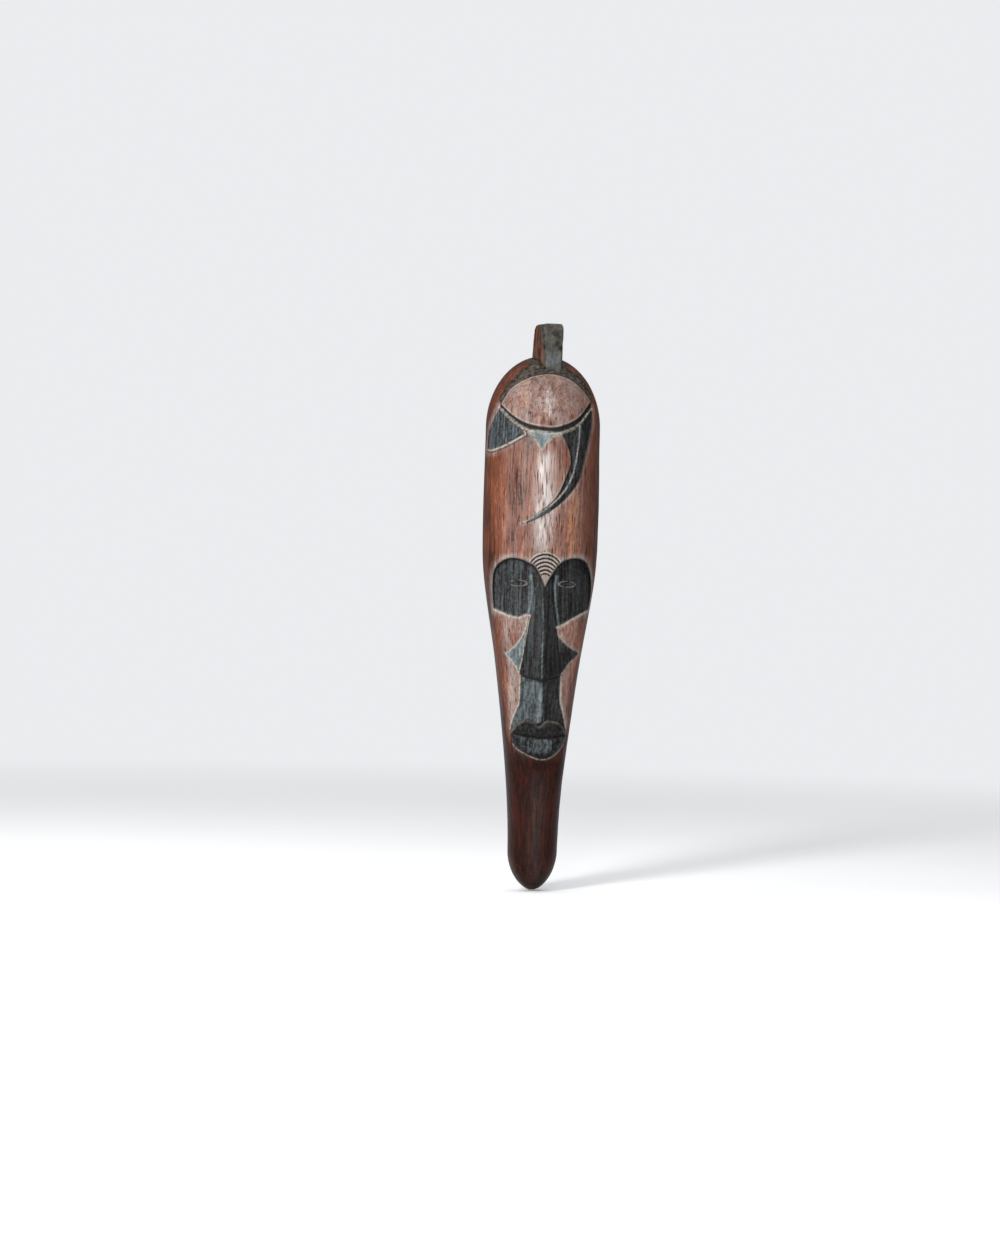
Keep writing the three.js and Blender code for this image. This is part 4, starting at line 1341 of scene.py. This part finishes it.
def makeStrap(look, steel):
    strap = nodeCopy("hangerStrap", "hanger_strap", steel)
    flat = strap.modifiers.new("flat", "DECIMATE")
    flat.decimate_type = "DISSOLVE"
    flat.angle_limit = math.radians(2)
    edge = strap.modifiers.new("edge", "BEVEL")
    edge.width = look["strapEdge"] * mm
    edge.segments = 2
    edge.limit_method = "ANGLE"
    edge.angle_limit = math.radians(40)
    settle(strap)
    crisp(strap, 40)
    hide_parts("hanger_strap")
    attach(strap, "mask")


def wireTree(material):
    tree, graph = newTree("bentWire", radius=0.0015, sides=16)
    group = {name: graph.node("NodeGroupInput", out=name) for name in ("Geometry", "radius", "sides")}
    path = graph.node("GeometryNodeMeshToCurve", {}, {"Mesh": group["Geometry"]})
    ring = graph.node("GeometryNodeCurvePrimitiveCircle", {"mode": "RADIUS"},
                      {"Resolution": group["sides"], "Radius": group["radius"]})
    wire = graph.node("GeometryNodeCurveToMesh", {}, {"Curve": path, "Profile Curve": ring})
    finishTree(graph, wire, material)
    return tree


def makeRing(look, steel):
    low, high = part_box("hanger_ring")
    wire, half, corner = (look[name] * mm for name in ("wire", "ringHalf", "corner"))
    foot, top, deep = low.z + wire, high.z - wire, (low.y + high.y) / 2
    arcs = [(half - corner, foot + corner, corner, -0.5, 0, 8), (0, top - half, half, 0, 1, 40),
            (corner - half, foot + corner, corner, 1, 1.5, 8)]
    points = [(x + radius * math.cos(t), deep, z + radius * math.sin(t))
              for x, z, radius, start, end, count in arcs for t in np.linspace(start, end, count) * math.pi]
    mesh = bpy.data.meshes.new("hangerRing")
    mesh.from_pydata(points, [(i, (i + 1) % len(points)) for i in range(len(points))], [])
    ring = bpy.data.objects.new("hangerRing", mesh)
    bpy.context.scene.collection.objects.link(ring)
    grow(ring, wireTree(steel), radius=wire, sides=look["wireSides"])
    outward(ring)
    crisp(ring, 60)
    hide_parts("hanger_ring")
    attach(ring, "ring")


def screwTree(screw, material):
    tree, graph = newTree("slottedScrews", turn=0.4, seed=1)
    group = {name: graph.node("NodeGroupInput", out=name) for name in ("Geometry", "turn", "seed")}
    shape = graph.node("GeometryNodeObjectInfo", {}, {"Object": screw}, out="Geometry")
    angle = graph.node("FunctionNodeRandomValue", {"data_type": "FLOAT"},
                       {2: group["turn"] * -1.0, 3: group["turn"], "Seed": group["seed"]}, out=1)
    spin = graph.node("ShaderNodeCombineXYZ", {}, {"Y": angle})
    spread = graph.node("GeometryNodeInstanceOnPoints", {}, {"Points": group["Geometry"], "Instance": shape,
                                                             "Rotation": spin})
    finishTree(graph, spread, material)
    return tree


def screwShape(look):
    # Turned about the Y axis, head at the back, seat at zero
    radius, height, shank = look["headRadius"], look["headHeight"], look["shank"]
    profile = [(0, -look["length"]), (shank * 0.3, -look["length"] + 0.4),
               (shank, -look["length"] + look["tip"]),
               (shank, -0.3), (shank, 0), (radius - 0.15, 0), (radius, 0.12), (radius, height * 0.35)]
    for t in np.linspace(0.15, 1, 7):
        turn = t * math.pi / 2
        profile.append((radius * math.cos(turn) ** 0.9, height * (0.35 + 0.65 * math.sin(turn))))
    sides = 40
    points, faces = [], []
    for r, y in profile:
        for i in range(sides):
            t = 2 * math.pi * i / sides
            points.append((r * math.cos(t) * mm, y * mm, r * math.sin(t) * mm))
    for row in range(len(profile) - 1):
        for i in range(sides):
            j = (i + 1) % sides
            faces.append((row * sides + i, row * sides + j, (row + 1) * sides + j, (row + 1) * sides + i))
    screw = newPiece("screwShape", points, faces)
    outward(screw, 0.002 * mm)
    wide, slot = look["headRadius"] * 1.5 * mm, look["slotWidth"] / 2 * mm
    outline = [(-wide, -slot), (wide, -slot), (wide, slot), (-wide, slot)]
    base = (height - look["slotDepth"]) * mm
    cutter = newPiece("slotCutter", *sweep(outline, base, base + 3 * mm, lambda a, b, level: (a, level, b)))
    outward(cutter)
    subtract(screw, cutter)
    return screw


def makeScrews(look, brass):
    screw = screwShape(look)
    places = []
    for name in screwNodes:
        low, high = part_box(name)
        places.append(((low.x + high.x) / 2, high.y - look["headHeight"] * mm, (low.z + high.z) / 2))
    mesh = bpy.data.meshes.new("hangerScrews")
    mesh.from_pydata(places, [], [])
    screws = bpy.data.objects.new("hangerScrews", mesh)
    bpy.context.scene.collection.objects.link(screws)
    grow(screws, screwTree(screw, brass), turn=look["turn"], seed=look["seed"])
    discard(screw)
    crisp(screws, 35)
    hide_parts("hanger_screw_upper", "hanger_screw_lower")
    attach(screws, "mask")


makeCamera(cameraLook)
makeStudio(studioLook)
makeFloor()
print("studio ready")
bodyMaterials = [newMaterial("carvedWood", carvedPaint), newMaterial("rawWood", rawPaint)]
makeBody()
makeCrest(crestLook)
finishPegs(newMaterial("pegWood", pegPaint))
hangerSteel = newMaterial("hangerSteel", steelPaint)
makeStrap(hangerLook, hangerSteel)
makeRing(hangerLook, hangerSteel)
makeScrews(hangerLook, newMaterial("screwBrass", brassPaint))
print("hanger ready")
